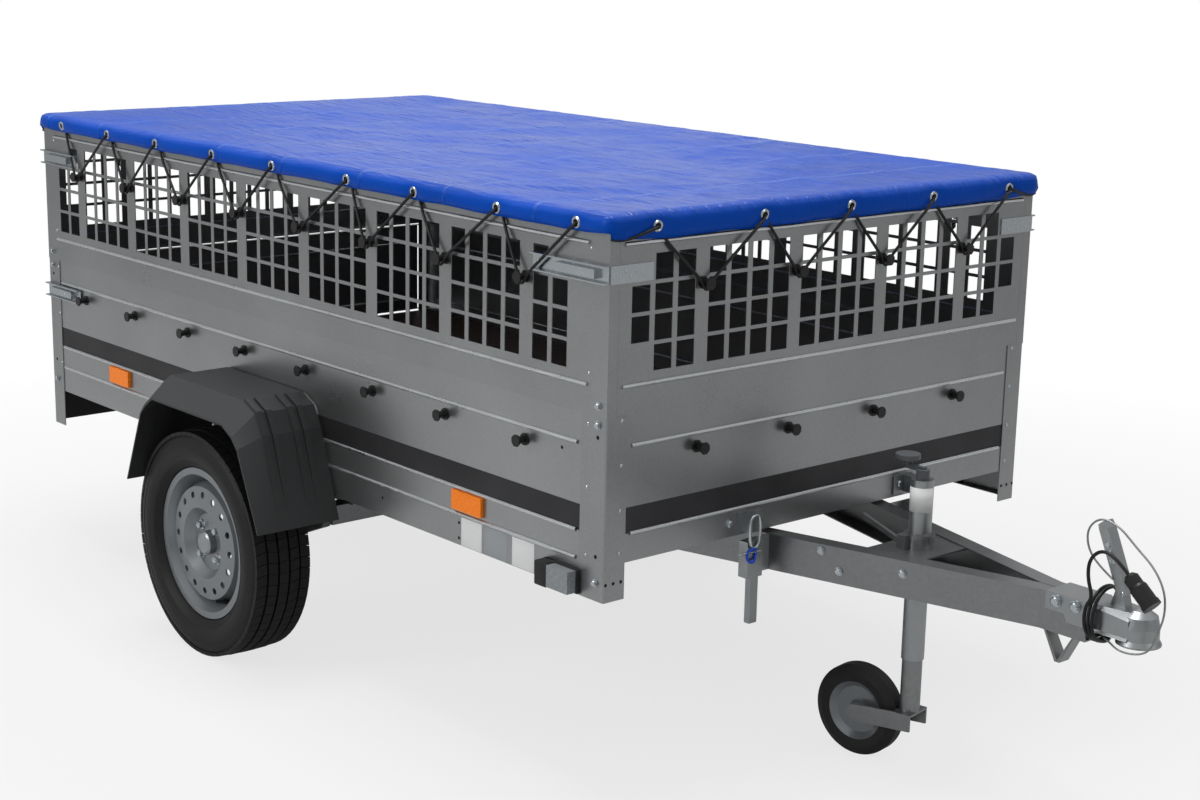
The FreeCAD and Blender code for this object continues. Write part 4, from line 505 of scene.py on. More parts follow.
def turned_to(direction, spot):
    """A matrix that stands Z along a direction at a spot."""
    turn = Vector(direction).to_track_quat("Z", "Y").to_matrix().to_4x4()
    return Matrix.Translation(spot) @ turn


def edges_of(verts):
    """The edges at some vertices, each once and in a fixed order."""
    return list(dict.fromkeys(edge for vert in verts for edge in vert.link_edges))


def disc(bm, spot, direction, radius, height, segments=20, top=None):
    """A short round or six-sided boss, its foot at the spot."""
    bmesh.ops.create_cone(
        bm, cap_ends=True, segments=segments, radius1=radius, radius2=top or radius, depth=height,
        matrix=turned_to(direction, spot) @ Matrix.Translation((0, 0, height / 2)),
    )


def dome(bm, spot, direction, radius, height):
    """A domed rivet or screw head that stands half out of the sheet."""
    squeeze = Matrix.Diagonal((1, 1, height / radius, 1))
    place = turned_to(direction, spot) @ squeeze
    bmesh.ops.create_uvsphere(bm, u_segments=12, v_segments=8, radius=radius, matrix=place)


def hex_bolt(bm, spot, direction, width):
    """A hexagon head on a washer, with the head's corners turned off."""
    out = Vector(direction).normalized()
    disc(bm, spot, out, 0.72 * width, 0.14 * width)
    disc(bm, spot + out * 0.14 * width, out, 0.577 * width, 0.34 * width, 6)
    disc(bm, spot + out * 0.48 * width, out, 0.56 * width, 0.1 * width, 12, 0.4 * width)


def ring(bm, spot, direction, radius, wire, segments=24):
    """A round ring of wire about a spot, spun from its round section."""
    place = turned_to(direction, spot)
    stand = place @ Matrix.Translation((radius, 0, 0)) @ Matrix.Rotation(math.pi / 2, 4, "X")
    section = bmesh.ops.create_circle(bm, radius=wire, segments=8, matrix=stand)["verts"]
    axis = place.to_3x3() @ UP
    bmesh.ops.spin(
        bm, geom=section + edges_of(section), cent=spot, axis=axis, angle=2 * math.pi,
        steps=segments, use_merge=True,
    )


def plate(bm, middle, size, turn=None, bevel=0.0):
    """A box about a middle point, turned by a matrix, with its edges bevelled."""
    turn = turn or Matrix.Identity(4)
    place = Matrix.Translation(middle) @ turn @ Matrix.Diagonal((*size, 1.0))
    made = bmesh.ops.create_cube(bm, size=1.0, matrix=place)["verts"]
    if bevel:
        bmesh.ops.bevel(
            bm, geom=edges_of(made), offset=bevel, offset_type="OFFSET", segments=2,
            profile=0.5, affect="EDGES", material=-1,
        )


def face_of(name, spot, out):
    """The place on a CAD node's outer face over a spot, found by a ray."""
    direction = Vector(out).normalized()
    hit, place, *_ = nodes[name].ray_cast(spot + direction * 0.2, -direction, distance=0.4)
    if not hit:
        raise ValueError(f"no face of {name} over {tuple(spot)}")
    return place


def set_on(make, bm, name, spot, out, *sizes):
    """Makes a disc, dome or bolt on a CAD node's outer face."""
    make(bm, face_of(name, spot, out), out, *sizes)


# %% [markdown]
# ## Cover
#
# The cover is one sheet of cloth with its corners sewn.  It starts as a flat grid of its cut size.
# Every point is then draped by where it lies: the middle rests on the mesh and sags a little, and
# the rim goes round the edge and hangs as a flap, which the lacing pulls in at each eyelet.

# %% Cover sizes
COVER_X = HALF_LENGTH + 5.0
COVER_Y = HALF_WIDTH + 5.0
COVER_CORNER = 16.0
EDGE_ROUND = 7.0
QUARTER = EDGE_ROUND * math.pi / 2
END_FLAP = 52.0
SIDE_FLAP = 39.0
REST = MESH_TOP + 3.0
GRID = (206, 118)
CLOTH = 0.0009
PLEAT_ZONE, PLEAT_RISE, PLEAT_WIDTH, PLEAT_BACK = 180, 4.6, 12, 20
PLEAT_IN, PLEAT_ASIDE = 0.66, 0.75
SAG, WAVE, BULGE = 6.0, 2.5, 2.6
RIM_ZONE = 60
STAND_OFF, SWELL, EYELET_DRAW, RIPPLE, GATHER = 4.5, 3.5, 6.0, 4.2, 2.6
CORNER_ZONE, CORNER_LIFT = 130, 0.12
print("cover", 2 * COVER_X, "by", 2 * COVER_Y, "mm over its edges")


# %% Drape
def eyelet_pull(x, y, width=34):
    """How near a point of the rim is to an eyelet, from 0 to 1."""
    near = 0.0
    if abs(y) > COVER_Y - RIM_ZONE:
        near = max(math.exp(-(((x - spot) / width) ** 2)) for spot in SIDE_EYELETS)
    if abs(x) > COVER_X - RIM_ZONE:
        near = max(near, max(math.exp(-(((y - spot) / width) ** 2)) for spot in END_EYELETS))
    return near


PLEATS = []
for sign in (-1, 1):
    for number, x in enumerate(SIDE_EYELETS):
        for lean in (-1, 1):
            reach = 120 + 50 * noise.noise(Vector((number, sign, lean * 3.3)))
            PLEATS.append((x, sign * COVER_Y, lean * PLEAT_ASIDE, -sign * PLEAT_IN, reach))
    for number, y in enumerate(END_EYELETS):
        for lean in (-1, 1):
            reach = 110 + 40 * noise.noise(Vector((number, sign * 2.2, lean * 5.1)))
            PLEATS.append((sign * COVER_X, y, -sign * PLEAT_IN, lean * PLEAT_ASIDE, reach))


def pleats(x, y):
    """Ridges that run from the eyelets inwards, and fade as they go."""
    rise = 0.0
    if min(COVER_X - abs(x), COVER_Y - abs(y)) > PLEAT_ZONE:
        return rise
    for start_x, start_y, run_x, run_y, reach in PLEATS:
        along = (x - start_x) * run_x + (y - start_y) * run_y
        if -PLEAT_BACK < along < reach:
            across = (x - start_x) * run_y - (y - start_y) * run_x
            ridge = PLEAT_RISE * math.exp(-((across / PLEAT_WIDTH) ** 2))
            grown = min(1, (along + PLEAT_BACK) / (2 * PLEAT_BACK))
            rise = max(rise, ridge * (1 - along / reach) * grown)
    return rise


def long_folds(x, y):
    """Long shallow folds that lean across the sheet."""
    lean = 0.82 * x + 0.57 * y
    across = -0.57 * x + 0.82 * y
    first = noise.noise(Vector((lean / 520, across / 85, 1.7)))
    second = noise.noise(Vector((across / 480, lean / 110, 8.4)))
    ridge = max(0.0, 1 - 5 * abs(noise.noise(Vector((lean / 430, across / 150, 4.6)))))
    other = max(0.0, 1 - 5 * abs(noise.noise(Vector((across / 390, lean / 170, 11.9)))))
    return 4.0 * first + 2.4 * second + 3.0 * ridge * ridge + 2.4 * other * other


def top_height(x, y):
    """The top's height, with a slight sag, folds and the pleats from the lacing."""
    reach_x = max(0.0, 1 - (x / COVER_X) ** 2)
    reach_y = max(0.0, 1 - (y / COVER_Y) ** 2)
    inward = min(reach_x, 0.2) * 5 * min(reach_y, 0.2) * 5
    sag = SAG * math.sqrt(reach_x * reach_y)
    wave = WAVE * noise.noise(Vector((x / 420, y / 260, 0.7)))
    edge = min(COVER_X - abs(x), COVER_Y - abs(y))
    bulge = BULGE * (1 - eyelet_pull(x, y, 50)) * max(0.0, 1 - edge / RIM_ZONE)
    middle = (wave + long_folds(x, y) - sag) * inward
    return REST + middle + pleats(x, y) * min(1.0, edge / 15) + bulge * min(1.0, edge / 8)


def draped(u, v):
    """Where a point of the flat sheet comes to lie."""
    past_x = abs(u) - (COVER_X - COVER_CORNER)
    past_y = abs(v) - (COVER_Y - COVER_CORNER)
    if max(past_x, past_y) <= 0:
        return at(u, v, top_height(u, v))
    if past_x > 0 and past_y > 0:
        turn = math.atan2(past_y, past_x)
        out = Vector((math.cos(turn), math.sin(turn), 0))
        foot = Vector((COVER_X - COVER_CORNER, COVER_Y - COVER_CORNER, 0))
    elif past_x > past_y:
        out, foot = ALONG_X, Vector((COVER_X - COVER_CORNER, abs(v), 0))
    else:
        out, foot = ALONG_Y, Vector((abs(u), COVER_Y - COVER_CORNER, 0))
    sign = Vector((math.copysign(1, u), math.copysign(1, v), 1))
    travel = max(past_x, past_y) - (COVER_CORNER - EDGE_ROUND)
    level = (foot + out * (COVER_CORNER - EDGE_ROUND + min(0.0, travel))) * sign
    top = top_height(level.x, level.y)
    if travel <= 0:
        return at(level.x, level.y, top)
    if travel < QUARTER:
        turn = travel / EDGE_ROUND
        away, down = EDGE_ROUND * math.sin(turn), EDGE_ROUND * (1 - math.cos(turn))
    else:
        away, down = EDGE_ROUND, EDGE_ROUND + travel - QUARTER
    rim = (foot + out * COVER_CORNER) * sign
    from_x, from_y = COVER_X - abs(rim.x), COVER_Y - abs(rim.y)
    share = max(0.0, down - EDGE_ROUND) / (END_FLAP - EDGE_ROUND)
    pull = eyelet_pull(rim.x, rim.y)
    ripple = noise.noise(Vector((rim.x / 75, rim.y / 75, 0.3 + share * 1.5)))
    near_corner = max(0.0, 1 - math.hypot(from_x, from_y) / CORNER_ZONE)
    gather = math.sin(11 * math.atan2(from_y + 9, from_x + 9)) * near_corner
    swell = math.sin(math.pi * min(1.0, share)) * (1 - pull)
    away += STAND_OFF + SWELL * swell
    away += (RIPPLE * ripple - EYELET_DRAW * pull + GATHER * gather) * share
    down *= 1 - CORNER_LIFT * near_corner
    down += 2.0 * (noise.noise(Vector((rim.x / 90, rim.y / 90, 3.1))) + pull) * share
    place = (foot + out * (COVER_CORNER - EDGE_ROUND + away)) * sign
    return at(place.x, place.y, top - down)


print(len(PLEATS), "pleats")

# %% Cover sheet
FLAT_X = COVER_X - EDGE_ROUND + QUARTER + END_FLAP - EDGE_ROUND
FLAT_Y = COVER_Y - EDGE_ROUND + QUARTER + SIDE_FLAP - EDGE_ROUND
flat_size = Matrix.Diagonal((FLAT_X, FLAT_Y, 1, 1))
bm = bmesh.new()
bmesh.ops.create_grid(bm, x_segments=GRID[0], y_segments=GRID[1], size=1.0, matrix=flat_size)
for vert in bm.verts:
    vert.co = draped(vert.co.x, vert.co.y)
inner = [vert for vert in bm.verts if not vert.is_boundary]
for _ in range(2):
    bmesh.ops.smooth_vert(
        bm, verts=inner, factor=0.4, use_axis_x=True, use_axis_y=True, use_axis_z=True
    )
cover = piece("cover_sheet", bm, "bed", "cover_fabric", cover_cloth, angle=89)
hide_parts("cover")
if sum(face.normal.z for face in cover.data.polygons) < 0:
    cover.data.flip_normals()
thick = cover.modifiers.new("thickness", "SOLIDIFY")
thick.thickness = CLOTH
thick.offset = 1.0

# %% [markdown]
# ## Eyelets and lacing
#
# Each eyelet is a pressed ring, spun from a round section, and it leans with the cloth.  The black
# elastic cord comes out under the flap, goes down round a knob and up through the next eyelet.
# It is tight all the way, so its lines are straight between the places that hold it.

# %% Eyelets
EYELET_RADIUS, EYELET_WIRE, EYELET_BORE = 0.0092, 0.0032, 0.0068
SIDE_HOLE = COVER_Y + (QUARTER - EDGE_ROUND) + 16.0
END_HOLE = COVER_X + (QUARTER - EDGE_ROUND) + 20.0


def flap_frame(u, v):
    """A point of the flap and the way that it faces there."""
    step_u = draped(u + 4, v) - draped(u - 4, v)
    step_v = draped(u, v + 4) - draped(u, v - 4)
    out = step_u.cross(step_v).normalized()
    if out.dot(Vector((u / COVER_X, v / COVER_Y, 0))) < 0:
        out = -out
    return draped(u, v) + out * CLOTH, out


side_holes = {(sign, x): flap_frame(x, sign * SIDE_HOLE) for sign in (-1, 1) for x in SIDE_EYELETS}
end_holes = {(sign, y): flap_frame(sign * END_HOLE, y) for sign in (-1, 1) for y in END_EYELETS}
rings, bores = bmesh.new(), bmesh.new()
for spot, out in [*side_holes.values(), *end_holes.values()]:
    ring(rings, spot, out, EYELET_RADIUS, EYELET_WIRE)
    # The black disc in each ring is painted shade for the dark seen through the eyelet.
    disc(bores, spot - out * 0.0006, out, EYELET_BORE, 0.0014)
piece("cover_eyelets", rings, "bed", *ZINC)
piece("eyelet_holes", bores, "bed", "black_plastic", painted_hole_shade)
print(len(side_holes) + len(end_holes), "eyelets")


# %% Lacing
LACE_RADIUS = 0.0033


def lace(start, knob, stop, out, across):
    """One V of elastic: out from under the flap, round a knob, and up through the next eyelet."""
    stop, facing = stop
    behind = start - out * 0.0075 + across * 0.006
    beneath = start + across * 0.020 - UP * 0.026 - out * 0.003
    near = knob - across * 0.0105 + UP * 0.002
    far = knob + across * 0.0105 + UP * 0.002
    under = knob - UP * 0.0125
    mouth = stop + facing * 0.0055 - UP * 0.004 - across * 0.001
    inside = stop - facing * 0.002 + across * 0.0005
    return [
        behind, beneath, beneath.lerp(near, 0.5), near, under - across * 0.006,
        under + across * 0.006, far, far.lerp(mouth, 0.5), far.lerp(mouth, 0.9), mouth, inside,
    ]


lines = []
for sign in (-1, 1):
    out, across = sign * ALONG_Y, ALONG_X
    for start, knob, stop in zip(SIDE_EYELETS, SIDE_KNOBS, SIDE_EYELETS[1:]):
        spot = at(knob, sign * (HALF_WIDTH + KNOB_REACH), KNOB_HEIGHT)
        lines.append(lace(side_holes[sign, start][0], spot, side_holes[sign, stop], out, across))
    out, across = sign * ALONG_X, ALONG_Y
    for start, knob, stop in zip(END_EYELETS, END_KNOBS, END_EYELETS[1:]):
        spot = at(sign * (HALF_LENGTH + KNOB_REACH), knob, KNOB_HEIGHT)
        lines.append(lace(end_holes[sign, start][0], spot, end_holes[sign, stop], out, across))
for sign_x in (-1, 1):
    for sign_y, y in ((-1, END_EYELETS[0]), (1, END_EYELETS[-1])):
        spot, facing = end_holes[sign_x, y]
        corner = at(sign_x * (COVER_X + 3), sign_y * (COVER_Y - 26), REST - 51)
        tucked = at(sign_x * (COVER_X - 1), sign_y * (COVER_Y - 4), REST - 44)
        lines.append([
            tucked, corner, corner.lerp(spot, 0.8) + facing * 0.006, spot + facing * 0.005,
            spot - facing * 0.002,
        ])
cord_curve("cover_lacing", lines, LACE_RADIUS, "bed", "black_plastic", cord_rubber)
print(len(lines), "runs of lacing")

# %% [markdown]
# ## Wheels
#
# The CAD tyres are plain rings.  Here each road tyre is its section spun about the axle, with a
# moulded line on the shoulder, and five ribs of tread blocks that stand on it.  The blocks are
# copies of one cube, leaned and lowered by their matrices, so hundreds of them cost little.

# %% Road tyre section
TYRE_HALF = (
    (0, 267), (43.5, 265.9), (62, 262.5), (68, 262), (72.5, 257), (74.8, 250),
    (76.6, 243), (75.4, 241), (76.9, 236), (77.5, 222), (74, 206), (72.8, 203),
    (73.4, 201), (66, 193), (60, 188.4), (59.6, 186.6), (57, 185.5), (53.5, 183.2),
    (52.6, 171.4),
)
BORE = ((40, 171.4), (-40, 171.4))
SHOULDER, SHOULDER_FALL, SHOULDER_SLOPE = 58.5, 2.6, 0.055
BLOCK_DEPTH, BLOCKS = 9.0, 64
RIBS = ((-SHOULDER, 26.0, 6.0, 1.9), (-29.0, 24.0, -5.0, 1.5), (0.0, 24.0, 3.0, 0.9),
        (29.0, 24.0, 5.0, 1.5), (SHOULDER, 26.0, -6.0, 1.9))


def tyre_body(bm, middle):
    """The carcass, spun from its section about the axle."""
    section = [(-across, radius) for across, radius in reversed(TYRE_HALF)]
    section += [*TYRE_HALF[1:], *BORE]
    spots = [middle + Vector((radius, across, 0)) / 1000 for across, radius in section]
    verts = [bm.verts.new(spot) for spot in spots]
    edges = [bm.edges.new(pair) for pair in zip(verts, verts[1:] + verts[:1])]
    bmesh.ops.spin(
        bm, geom=verts + edges, cent=middle, axis=(0, 1, 0), angle=2 * math.pi, steps=96,
        use_merge=True,
    )


def tread_blocks(bm, middle):
    """Ribs of blocks between the grooves, leaned by the sipes and lowered to the shoulders."""
    scale = Matrix.Diagonal((0.001, 0.001, 0.001, 1))
    for across, width, lean, gap in RIBS:
        share = across / SHOULDER
        height = WHEEL_RADIUS - SHOULDER_FALL * share ** 2 - BLOCK_DEPTH / 2
        slope = -SHOULDER_SLOPE * share * abs(share)
        length = 2 * math.pi * WHEEL_RADIUS / BLOCKS - gap
        shape = Matrix((
            (BLOCK_DEPTH, width * slope, 0, height),
            (0, width, 0, across),
            (0, lean, length, 0),
            (0, 0, 0, 1),
        ))
        for step in range(BLOCKS):
            turn = Matrix.Rotation(2 * math.pi * step / BLOCKS, 4, "Y")
            place = Matrix.Translation(middle) @ turn @ scale @ shape
            bmesh.ops.create_cube(bm, size=1.0, matrix=place)


print(len(RIBS), "ribs of", BLOCKS, "blocks")

# %% Tyres, wheel bolts and valves
BOLT_CIRCLE, BOLT_OUT, BOLT_TURNS = 0.050, 0.034, (45, 135, 225, 315)
VALVE_CIRCLE, VALVE_OUT, VALVE_TURN = 0.150, 0.030, math.radians(-62)
for side, sign in SIDES:
    middle = at(WHEEL_AHEAD, sign * WHEEL_OUT, WHEEL_RADIUS)
    out = sign * ALONG_Y
    bm = bmesh.new()
    tyre_body(bm, middle)
    tread_blocks(bm, middle)
    tyre = piece(f"road_tyre_{side}", bm, f"wheel_{side}", "tyre_rubber", tyre_rubber, angle=32)
    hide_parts(f"tyre_{side}")
    bm = bmesh.new()
    for turn in BOLT_TURNS:
        turn = math.radians(turn)
        spoke = Vector((math.cos(turn), 0, math.sin(turn)))
        spot = middle + spoke * BOLT_CIRCLE + out * BOLT_OUT
        disc(bm, spot, out, 0.0135, 0.003, 24, 0.012)
        disc(bm, spot + out * 0.003, out, 0.0098, 0.009, 6)
        dome(bm, spot + out * 0.012, out, 0.0085, 0.003)
    piece(f"wheel_bolts_{side}", bm, f"wheel_{side}", *ZINC, angle=30)
    bm = bmesh.new()
    spoke = Vector((math.cos(VALVE_TURN), 0, math.sin(VALVE_TURN)))
    spot = middle + spoke * VALVE_CIRCLE + out * VALVE_OUT
    disc(bm, spot, out - spoke * 0.25, 0.006, 0.034, 12, 0.004)
    piece(f"tyre_valve_{side}", bm, f"wheel_{side}", "black_plastic", black_plastic)
print("wheels with", len(BOLT_TURNS), "bolts each")

# %% [markdown]
# ## Bolts, screws and rivets
#
# The posts are screwed and bolted to the panels.  The heads are small, but a box without them
# looks like card.

# %% Post fastenings
SCREW_AHEAD, BOLT_AHEAD = 1120, 1150
POST_SCREWS = (779, 651, 511)
END_SCREWS = (790, 700, 608, 521)
MESH_SCREWS = (1125, 880)
POST_HOLES = (757, 515)
POST_ENDS = ((1, "front_posts", 602, (636, 616, 596)), (-1, "rear_posts", 626, (636, 622)))
PANEL_HOLES = ((1040, 715), (703, 479), (703, 445), (-1040, 715), (-560, 470), (420, 470))
# The holes are thin black discs on the faces: painted shade for the dark inside each hole.
FILM = 0.0003
screws, bolts, holes = bmesh.new(), bmesh.new(), bmesh.new()
for side, sign in SIDES:
    out = sign * ALONG_Y
    face_y = sign * HALF_WIDTH
    panel, mesh = f"side_panel_{side}", f"mesh_side_{side}"
    for end, post, screw_y, hole_line in POST_ENDS:
        for z in POST_SCREWS:
            set_on(dome, screws, post, at(end * SCREW_AHEAD, face_y, z), out, 0.0048, 0.0026)
        for z in MESH_SCREWS:
            set_on(dome, screws, mesh, at(end * SCREW_AHEAD, face_y, z), out, 0.0045, 0.0024)
        for name, z in ((mesh, 820), (post, 782), (post, 461)):
            set_on(hex_bolt, bolts, name, at(end * BOLT_AHEAD, face_y, z), out, 0.012)
        for z in POST_HOLES:
            set_on(disc, holes, post, at(end * BOLT_AHEAD, face_y, z), out, 0.0042, FILM)
        ahead = end * ALONG_X
        for z in END_SCREWS:
            spot = at(end * HALF_LENGTH, sign * screw_y, z)
            set_on(dome, screws, post, spot, ahead, 0.0045, 0.0024)
        for y in hole_line:
            spot = at(end * HALF_LENGTH, sign * y, 461)
            set_on(disc, holes, post, spot, ahead, 0.0036, FILM)
    for x, z in PANEL_HOLES:
        set_on(disc, holes, panel, at(x, face_y, z), out, 0.0036, FILM)
piece("post_screws", screws, "bed", *ZINC)
piece("post_bolts", bolts, "bed", *ZINC, angle=30)
piece("sheet_holes", holes, "bed", "black_plastic", painted_hole_shade)
print("posts fastened")

# %% [markdown]
# ### Beads
#
# The sheets are stiffened by pressed beads.  Their crests are round and catch the light as a thin
# white line.  The CAD beads have flat sides, so a round bar is sunk into each, in a zinc paler than
# the sheet: a painted highlight that makes the line brighter.

# %% Beads
BEAD_RADIUS, BEAD_PROUD = 0.0041, 0.0006
PANEL_BEADS, SILL_BEAD, MESH_BEADS = (736, 557), 499, (857, 1136)
# Painted highlight: the bars are paler than the sheet, so that the crest line shows white.
bead_highlight_zinc = plated("bead_highlight_plate", "#cfd2d4", 0.3)


def bead(bm, name, middle, out, along, length):
    """A round bar along a bead, its crest just proud of the CAD one."""
    core = face_of(name, middle, out) - out * (BEAD_RADIUS - BEAD_PROUD)
    disc(bm, core - along * length / 2000, along, BEAD_RADIUS, length / 1000, 16)


bm, gate = bmesh.new(), bmesh.new()
for side, sign in SIDES:
    out = sign * ALONG_Y
    for z in (*PANEL_BEADS, SILL_BEAD):
        bead(bm, f"side_panel_{side}", at(-8, sign * HALF_WIDTH, z), out, ALONG_X, 2192)
    for z in MESH_BEADS:
        bead(bm, f"mesh_side_{side}", at(0, sign * HALF_WIDTH, z), out, ALONG_X, 2232)
for z in PANEL_BEADS:
    bead(bm, "front_panel", at(HALF_LENGTH, 0, z), ALONG_X, ALONG_Y, 1150)
    bead(gate, "tailgate", at(-HALF_LENGTH, 0, z), -ALONG_X, ALONG_Y, 1192)
for name, end in (("mesh_front", 1), ("mesh_rear", -1)):
    for z in MESH_BEADS:
        bead(bm, name, at(end * HALF_LENGTH, 0, z), end * ALONG_X, ALONG_Y, 1210)
piece("sheet_beads", bm, "bed", "galvanised_sheet", bead_highlight_zinc)
piece("tailgate_beads", gate, "tailgate", "galvanised_sheet", bead_highlight_zinc)
print("beads rounded")

# %% [markdown]
# ### Latch rivets
#
# The over-centre latches are riveted through, and the bands that they pull on have pressed marks.

# %% Latch rivets
LATCH_RIVETS = (
    ("corner_latches", 962, 1079), ("corner_latches", 1016, 1079),
    ("tailgate_latches", -1006, 713), ("tailgate_latches", -1060, 713),
)
BAND_MARKS = ((634, 1085), (618, 1073), (604, 1085), (590, 1073), (576, 1085), (556, 1073))
bm = bmesh.new()
for sign in (-1, 1):
    for name, x, z in LATCH_RIVETS:
        set_on(dome, bm, name, at(x, sign * 650, z), sign * ALONG_Y, 0.0042, 0.0022)
    for end in (-1, 1):
        for y, z in BAND_MARKS:
            spot = at(end * 1178, sign * y, z)
            set_on(dome, bm, "corner_latches", spot, end * ALONG_X, 0.0032, 0.0018)
piece("latch_rivets", bm, "bed", *ZINC)
print(2 * len(LATCH_RIVETS), "rivets and", 4 * len(BAND_MARKS), "marks")

# %% [markdown]
# ## Labels and marker lamps
#
# Three blank stickers are on the foot of each side, and one band is round the jockey tube.  A
# bevelled sheet, a little thicker than the real film, stands for each.

# %% Blank labels, marker lamp housings and painted shade
LABEL_HEIGHT, LABEL_FILM = 0.062, 0.0006
TUBE_LABEL_RADIUS, TUBE_LABEL_HEIGHT = 0.0243, 0.052
white, grey = bmesh.new(), bmesh.new()
for low, high, target in ((711, 782, white), (791, 870, grey), (885, 957, white)):
    for side, sign in SIDES:
        spot = at((low + high) / 2, sign * HALF_WIDTH, 462)
        middle = face_of(f"side_panel_{side}", spot, sign * ALONG_Y)
        plate(target, middle, ((high - low) / 1000, LABEL_FILM, LABEL_HEIGHT), bevel=0.0002)
piece("white_labels", white, "bed", "black_plastic", label_paper)
piece("grey_labels", grey, "bed", "black_plastic", grey_label)
bm = bmesh.new()
bmesh.ops.create_cone(
    bm, cap_ends=False, segments=40, radius1=TUBE_LABEL_RADIUS, radius2=TUBE_LABEL_RADIUS,
    depth=TUBE_LABEL_HEIGHT, matrix=Matrix.Translation(at(1432, 0, 591)),
)
behind = [face for face in bm.faces if face.calc_center_median().y > 0.008]
bmesh.ops.delete(bm, geom=behind, context="FACES")
tube_label = piece("jockey_tube_label", bm, "drawbar", "black_plastic", label_paper)
film = tube_label.modifiers.new("film", "SOLIDIFY")
film.thickness = 0.0004
film.offset = 1.0
bm = bmesh.new()
for sign in (-1, 1):
    plate(bm, at(1016, sign * 656, 452), (0.038, 0.036, 0.052), bevel=0.004)
    # The long flat black plate beside each housing is painted shade by the marker lamp.
    plate(bm, at(1050, sign * 645, 452), (0.110, 0.010, 0.052), bevel=0.003)
piece("marker_lamp_housings_and_shade", bm, "bed", "black_plastic", lamp_plastic)
print("labels set and marker lamps housed")

# %% [markdown]
# ## Drawbar fittings
#
# Two bolts hold the coupling in the arms on each side, and three more go through each arm.  The
# arms end in black caps.  The handle is pressed with a row of squares and turns on a rivet.

# %% Drawbar bolts, arm caps and handle
ARM_LEAN = 15
bm, caps = bmesh.new(), bmesh.new()
for side, sign in SIDES:
    out = sign * ALONG_Y
    for x in (1811, 1856):
        set_on(hex_bolt, bm, "coupling", at(x, sign * 43, 478), out, 0.017)
    lean = Matrix.Rotation(math.radians(-sign * ARM_LEAN), 3, "Z") @ out
    for x, y, z in ((1306, 160, 476), (1486, 112, 463), (1348, 150, 440)):
        set_on(hex_bolt, bm, f"drawbar_arm_{side}", at(x, sign * y, z), lean, 0.013)
    plate(caps, at(1884, sign * 24, 437), (0.008, 0.022, 0.030), bevel=0.002)
piece("drawbar_bolts", bm, "drawbar", *ZINC, angle=30)
piece("arm_end_caps", caps, "drawbar", "black_plastic", black_plastic)

HANDLE_FOOT, HANDLE_TIP = Vector((1940.0, 516.0)), Vector((1887.0, 636.0))
run = HANDLE_TIP - HANDLE_FOOT
lean = Matrix.Rotation(math.atan2(run.x, run.y), 4, "Y")
bm = bmesh.new()
for sign in (-1, 1):
    out = sign * ALONG_Y
    for share in (0.52, 0.64, 0.76):
        x, z = HANDLE_FOOT + share * run
        spot = face_of("coupling_handle", at(x, sign * 14, z), out)
        plate(bm, spot, (0.011, 0.0018, 0.011), lean, 0.0006)
    set_on(dome, bm, "coupling_handle", at(1941, sign * 14, 521), out, 0.0045, 0.002)
piece("coupling_embossing", bm, "drawbar", *ZINC)
print("coupling bolted")

# %% [markdown]
# ### Rear lamp zones
#
# The rear lamps are red with an amber zone outside for the turn signal and a clear one inside.

# %% Rear lamp zones
for name, y, glass, slot in (
    ("rear_lamp_amber", 590, amber_lens, "amber_lens"),
    ("rear_lamp_clear", 506, clear_lens, "clear_lens"),
):
    bm = bmesh.new()
    for sign in (-1, 1):
        spot = face_of("rear_lamps", at(-1207, sign * y, 386), -ALONG_X)
        plate(bm, spot, (0.004, 0.036, 0.066), bevel=0.0014)
    piece(name, bm, "bed", slot, glass)
print("rear lamps zoned")

# %% [markdown]
# ### Tilt latches
#
# Each tilt latch pulls on the box with a ring of bent rod.  A pin locks it, and a blue tie keeps
# the pin.  The keepers are bolted to the front panel.

# %% Tilt latch rings, pins and ties
LATCH_Y = 262
RING = ((-11, 482), (-15, 510), (-15, 536), (-8, 548), (8, 548), (15, 536), (15, 510), (11, 482),
        (0, 478))
TIE = ((0, -12, 474), (6, 0, 480), (0, 12, 474), (-2, 15, 464), (0, 10, 452), (6, 0, 448),
       (0, -12, 454))
PIN = ((1212, -42, 470), (1213, -20, 472), (1213, 20, 468))
rings, ties, pins = [], [], []
keepers = bmesh.new()
for sign in (-1, 1):
    middle = sign * LATCH_Y
    rings.append([at(1214, middle + across, z) for across, z in RING])
    ties.append([at(1213 + out, middle + sign * 8 + across, z) for out, across, z in TIE])
    pins.append([at(x, middle + across, z) for x, across, z in PIN])
    for y in (299, 229):
        spot = at(HALF_LENGTH, sign * y, 527)
        set_on(hex_bolt, keepers, "front_panel", spot, ALONG_X, 0.014)
cord_curve("tilt_latch_rings", rings, 0.0034, "drawbar", *ZINC, True)
cord_curve("tilt_latch_pins", pins, 0.002, "drawbar", *ZINC)
cord_curve("tilt_latch_ties", ties, 0.003, "drawbar", "black_plastic", blue_plastic, True)
piece("tilt_keeper_bolts", keepers, "bed", *ZINC, angle=30)
print("tilt latches fitted")

# %% [markdown]
# ## Studio
#
# A plain pale floor and a white backdrop.  Near the trailer the floor is matt and takes its soft
# shadow.  Further out it fades to plain white, so the picture has no horizon.  Reflections see a
# small share of that white, which keeps the metal from bleaching.

# %% Floor
MIRRORED = 0.15
FADE_NEAR, FADE_FAR, NEAR_WHITE = 1.4, 3.6, 0.74


def seen_white(tree):
    """How much of the plain white a ray sees: all for the camera, some for a reflection."""
    rays = add(tree, "LightPath")
    glossy = maths(tree, "MULTIPLY", rays.outputs["Is Glossy Ray"], MIRRORED)
    seen = maths(tree, "MAXIMUM", rays.outputs["Is Camera Ray"], glossy)
    return maths(tree, "MAXIMUM", seen, rays.outputs["Is Transmission Ray"])


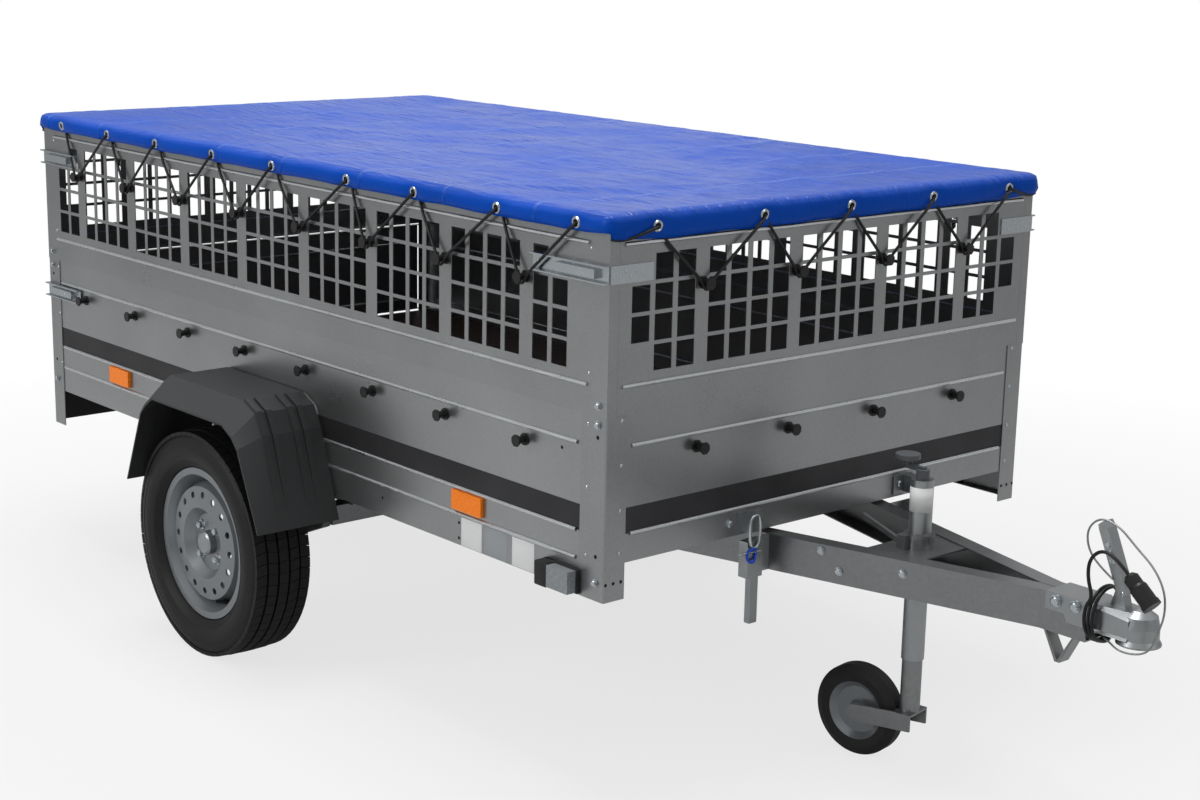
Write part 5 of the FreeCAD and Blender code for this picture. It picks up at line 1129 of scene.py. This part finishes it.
studio, tree, shader, coords = finish("white_floor", "#b9b9b9", 0.95)
far_off = add(tree, "VectorMath", {0: coords}, operation="LENGTH").outputs["Value"]
far_off = ranged(tree, far_off, FADE_NEAR, FADE_FAR, NEAR_WHITE)
fade = maths(tree, "MULTIPLY", seen_white(tree), far_off)
glow = add(tree, "Emission", Color=(1, 1, 1, 1), Strength=1.0).outputs[0]
blend = add(tree, "MixShader", {0: fade, 1: shader.outputs[0], 2: glow})
tree.links.new(blend.outputs[0], tree.nodes["Material Output"].inputs["Surface"])
bm = bmesh.new()
sunk = Matrix.Translation((0, 0, -0.0005))
bmesh.ops.create_grid(bm, x_segments=1, y_segments=1, size=40.0, matrix=sunk)
mesh = bpy.data.meshes.new("studio_floor")
bm.to_mesh(mesh)
bm.free()
mesh.materials.append(studio)
floor = bpy.data.objects.new("studio_floor", mesh)
bpy.context.scene.collection.objects.link(floor)
print("floor fades from", FADE_NEAR, "to", FADE_FAR, "m")

# %% World
world = bpy.data.worlds.new("studio_light")
bpy.context.scene.world = world
world.use_nodes = True
tree = world.node_tree
tree.nodes.clear()
way = add(tree, "TexCoord").outputs["Generated"]
height = add(tree, "SeparateXYZ", {"Vector": way}).outputs["Z"]
sky = mixed(tree, ranged(tree, height, -0.1, 0.7), "#6f7173", "#ffffff")
soft = add(tree, "Background", {"Color": sky}, Strength=0.75)
white = add(tree, "Background", Color=(1, 1, 1, 1), Strength=1.0)
seen = seen_white(tree)
either = add(tree, "MixShader", {0: seen, 1: soft.outputs[0], 2: white.outputs[0]})
add(tree, "OutputWorld", {"Surface": either.outputs[0]})
print("world", world.name)


# %% [markdown]
# ### Lamps
#
# A wide soft box above gives the cover and the beads their highlights.  A weaker one stands on
# each seen side and models the panels, and a faint one behind lifts the far edges.

# %% Lamps
def area_light(name, spot, aim, size, power):
    """A soft square light that looks at a point."""
    data = bpy.data.lights.new(name, "AREA")
    data.shape = "SQUARE"
    data.size = size
    data.energy = power
    made = bpy.data.objects.new(name, data)
    made.location = spot
    made.rotation_euler = (Vector(aim) - Vector(spot)).to_track_quat("-Z", "Y").to_euler()
    bpy.context.scene.collection.objects.link(made)


area_light("side_light", (-1.5, -6.0, 3.6), (-0.4, 0, 0.6), 2.4, 125)
area_light("front_light", (6.0, 1.5, 2.6), (0.8, 0, 0.6), 2.2, 14)
area_light("top_light", (-0.4, -0.3, 6.0), (-0.4, 0, 0.6), 2.4, 220)
area_light("back_light", (-6.0, 4.5, 3.2), (-0.4, 0, 0.9), 3.0, 12)
print(len(bpy.data.lights), "lamps")
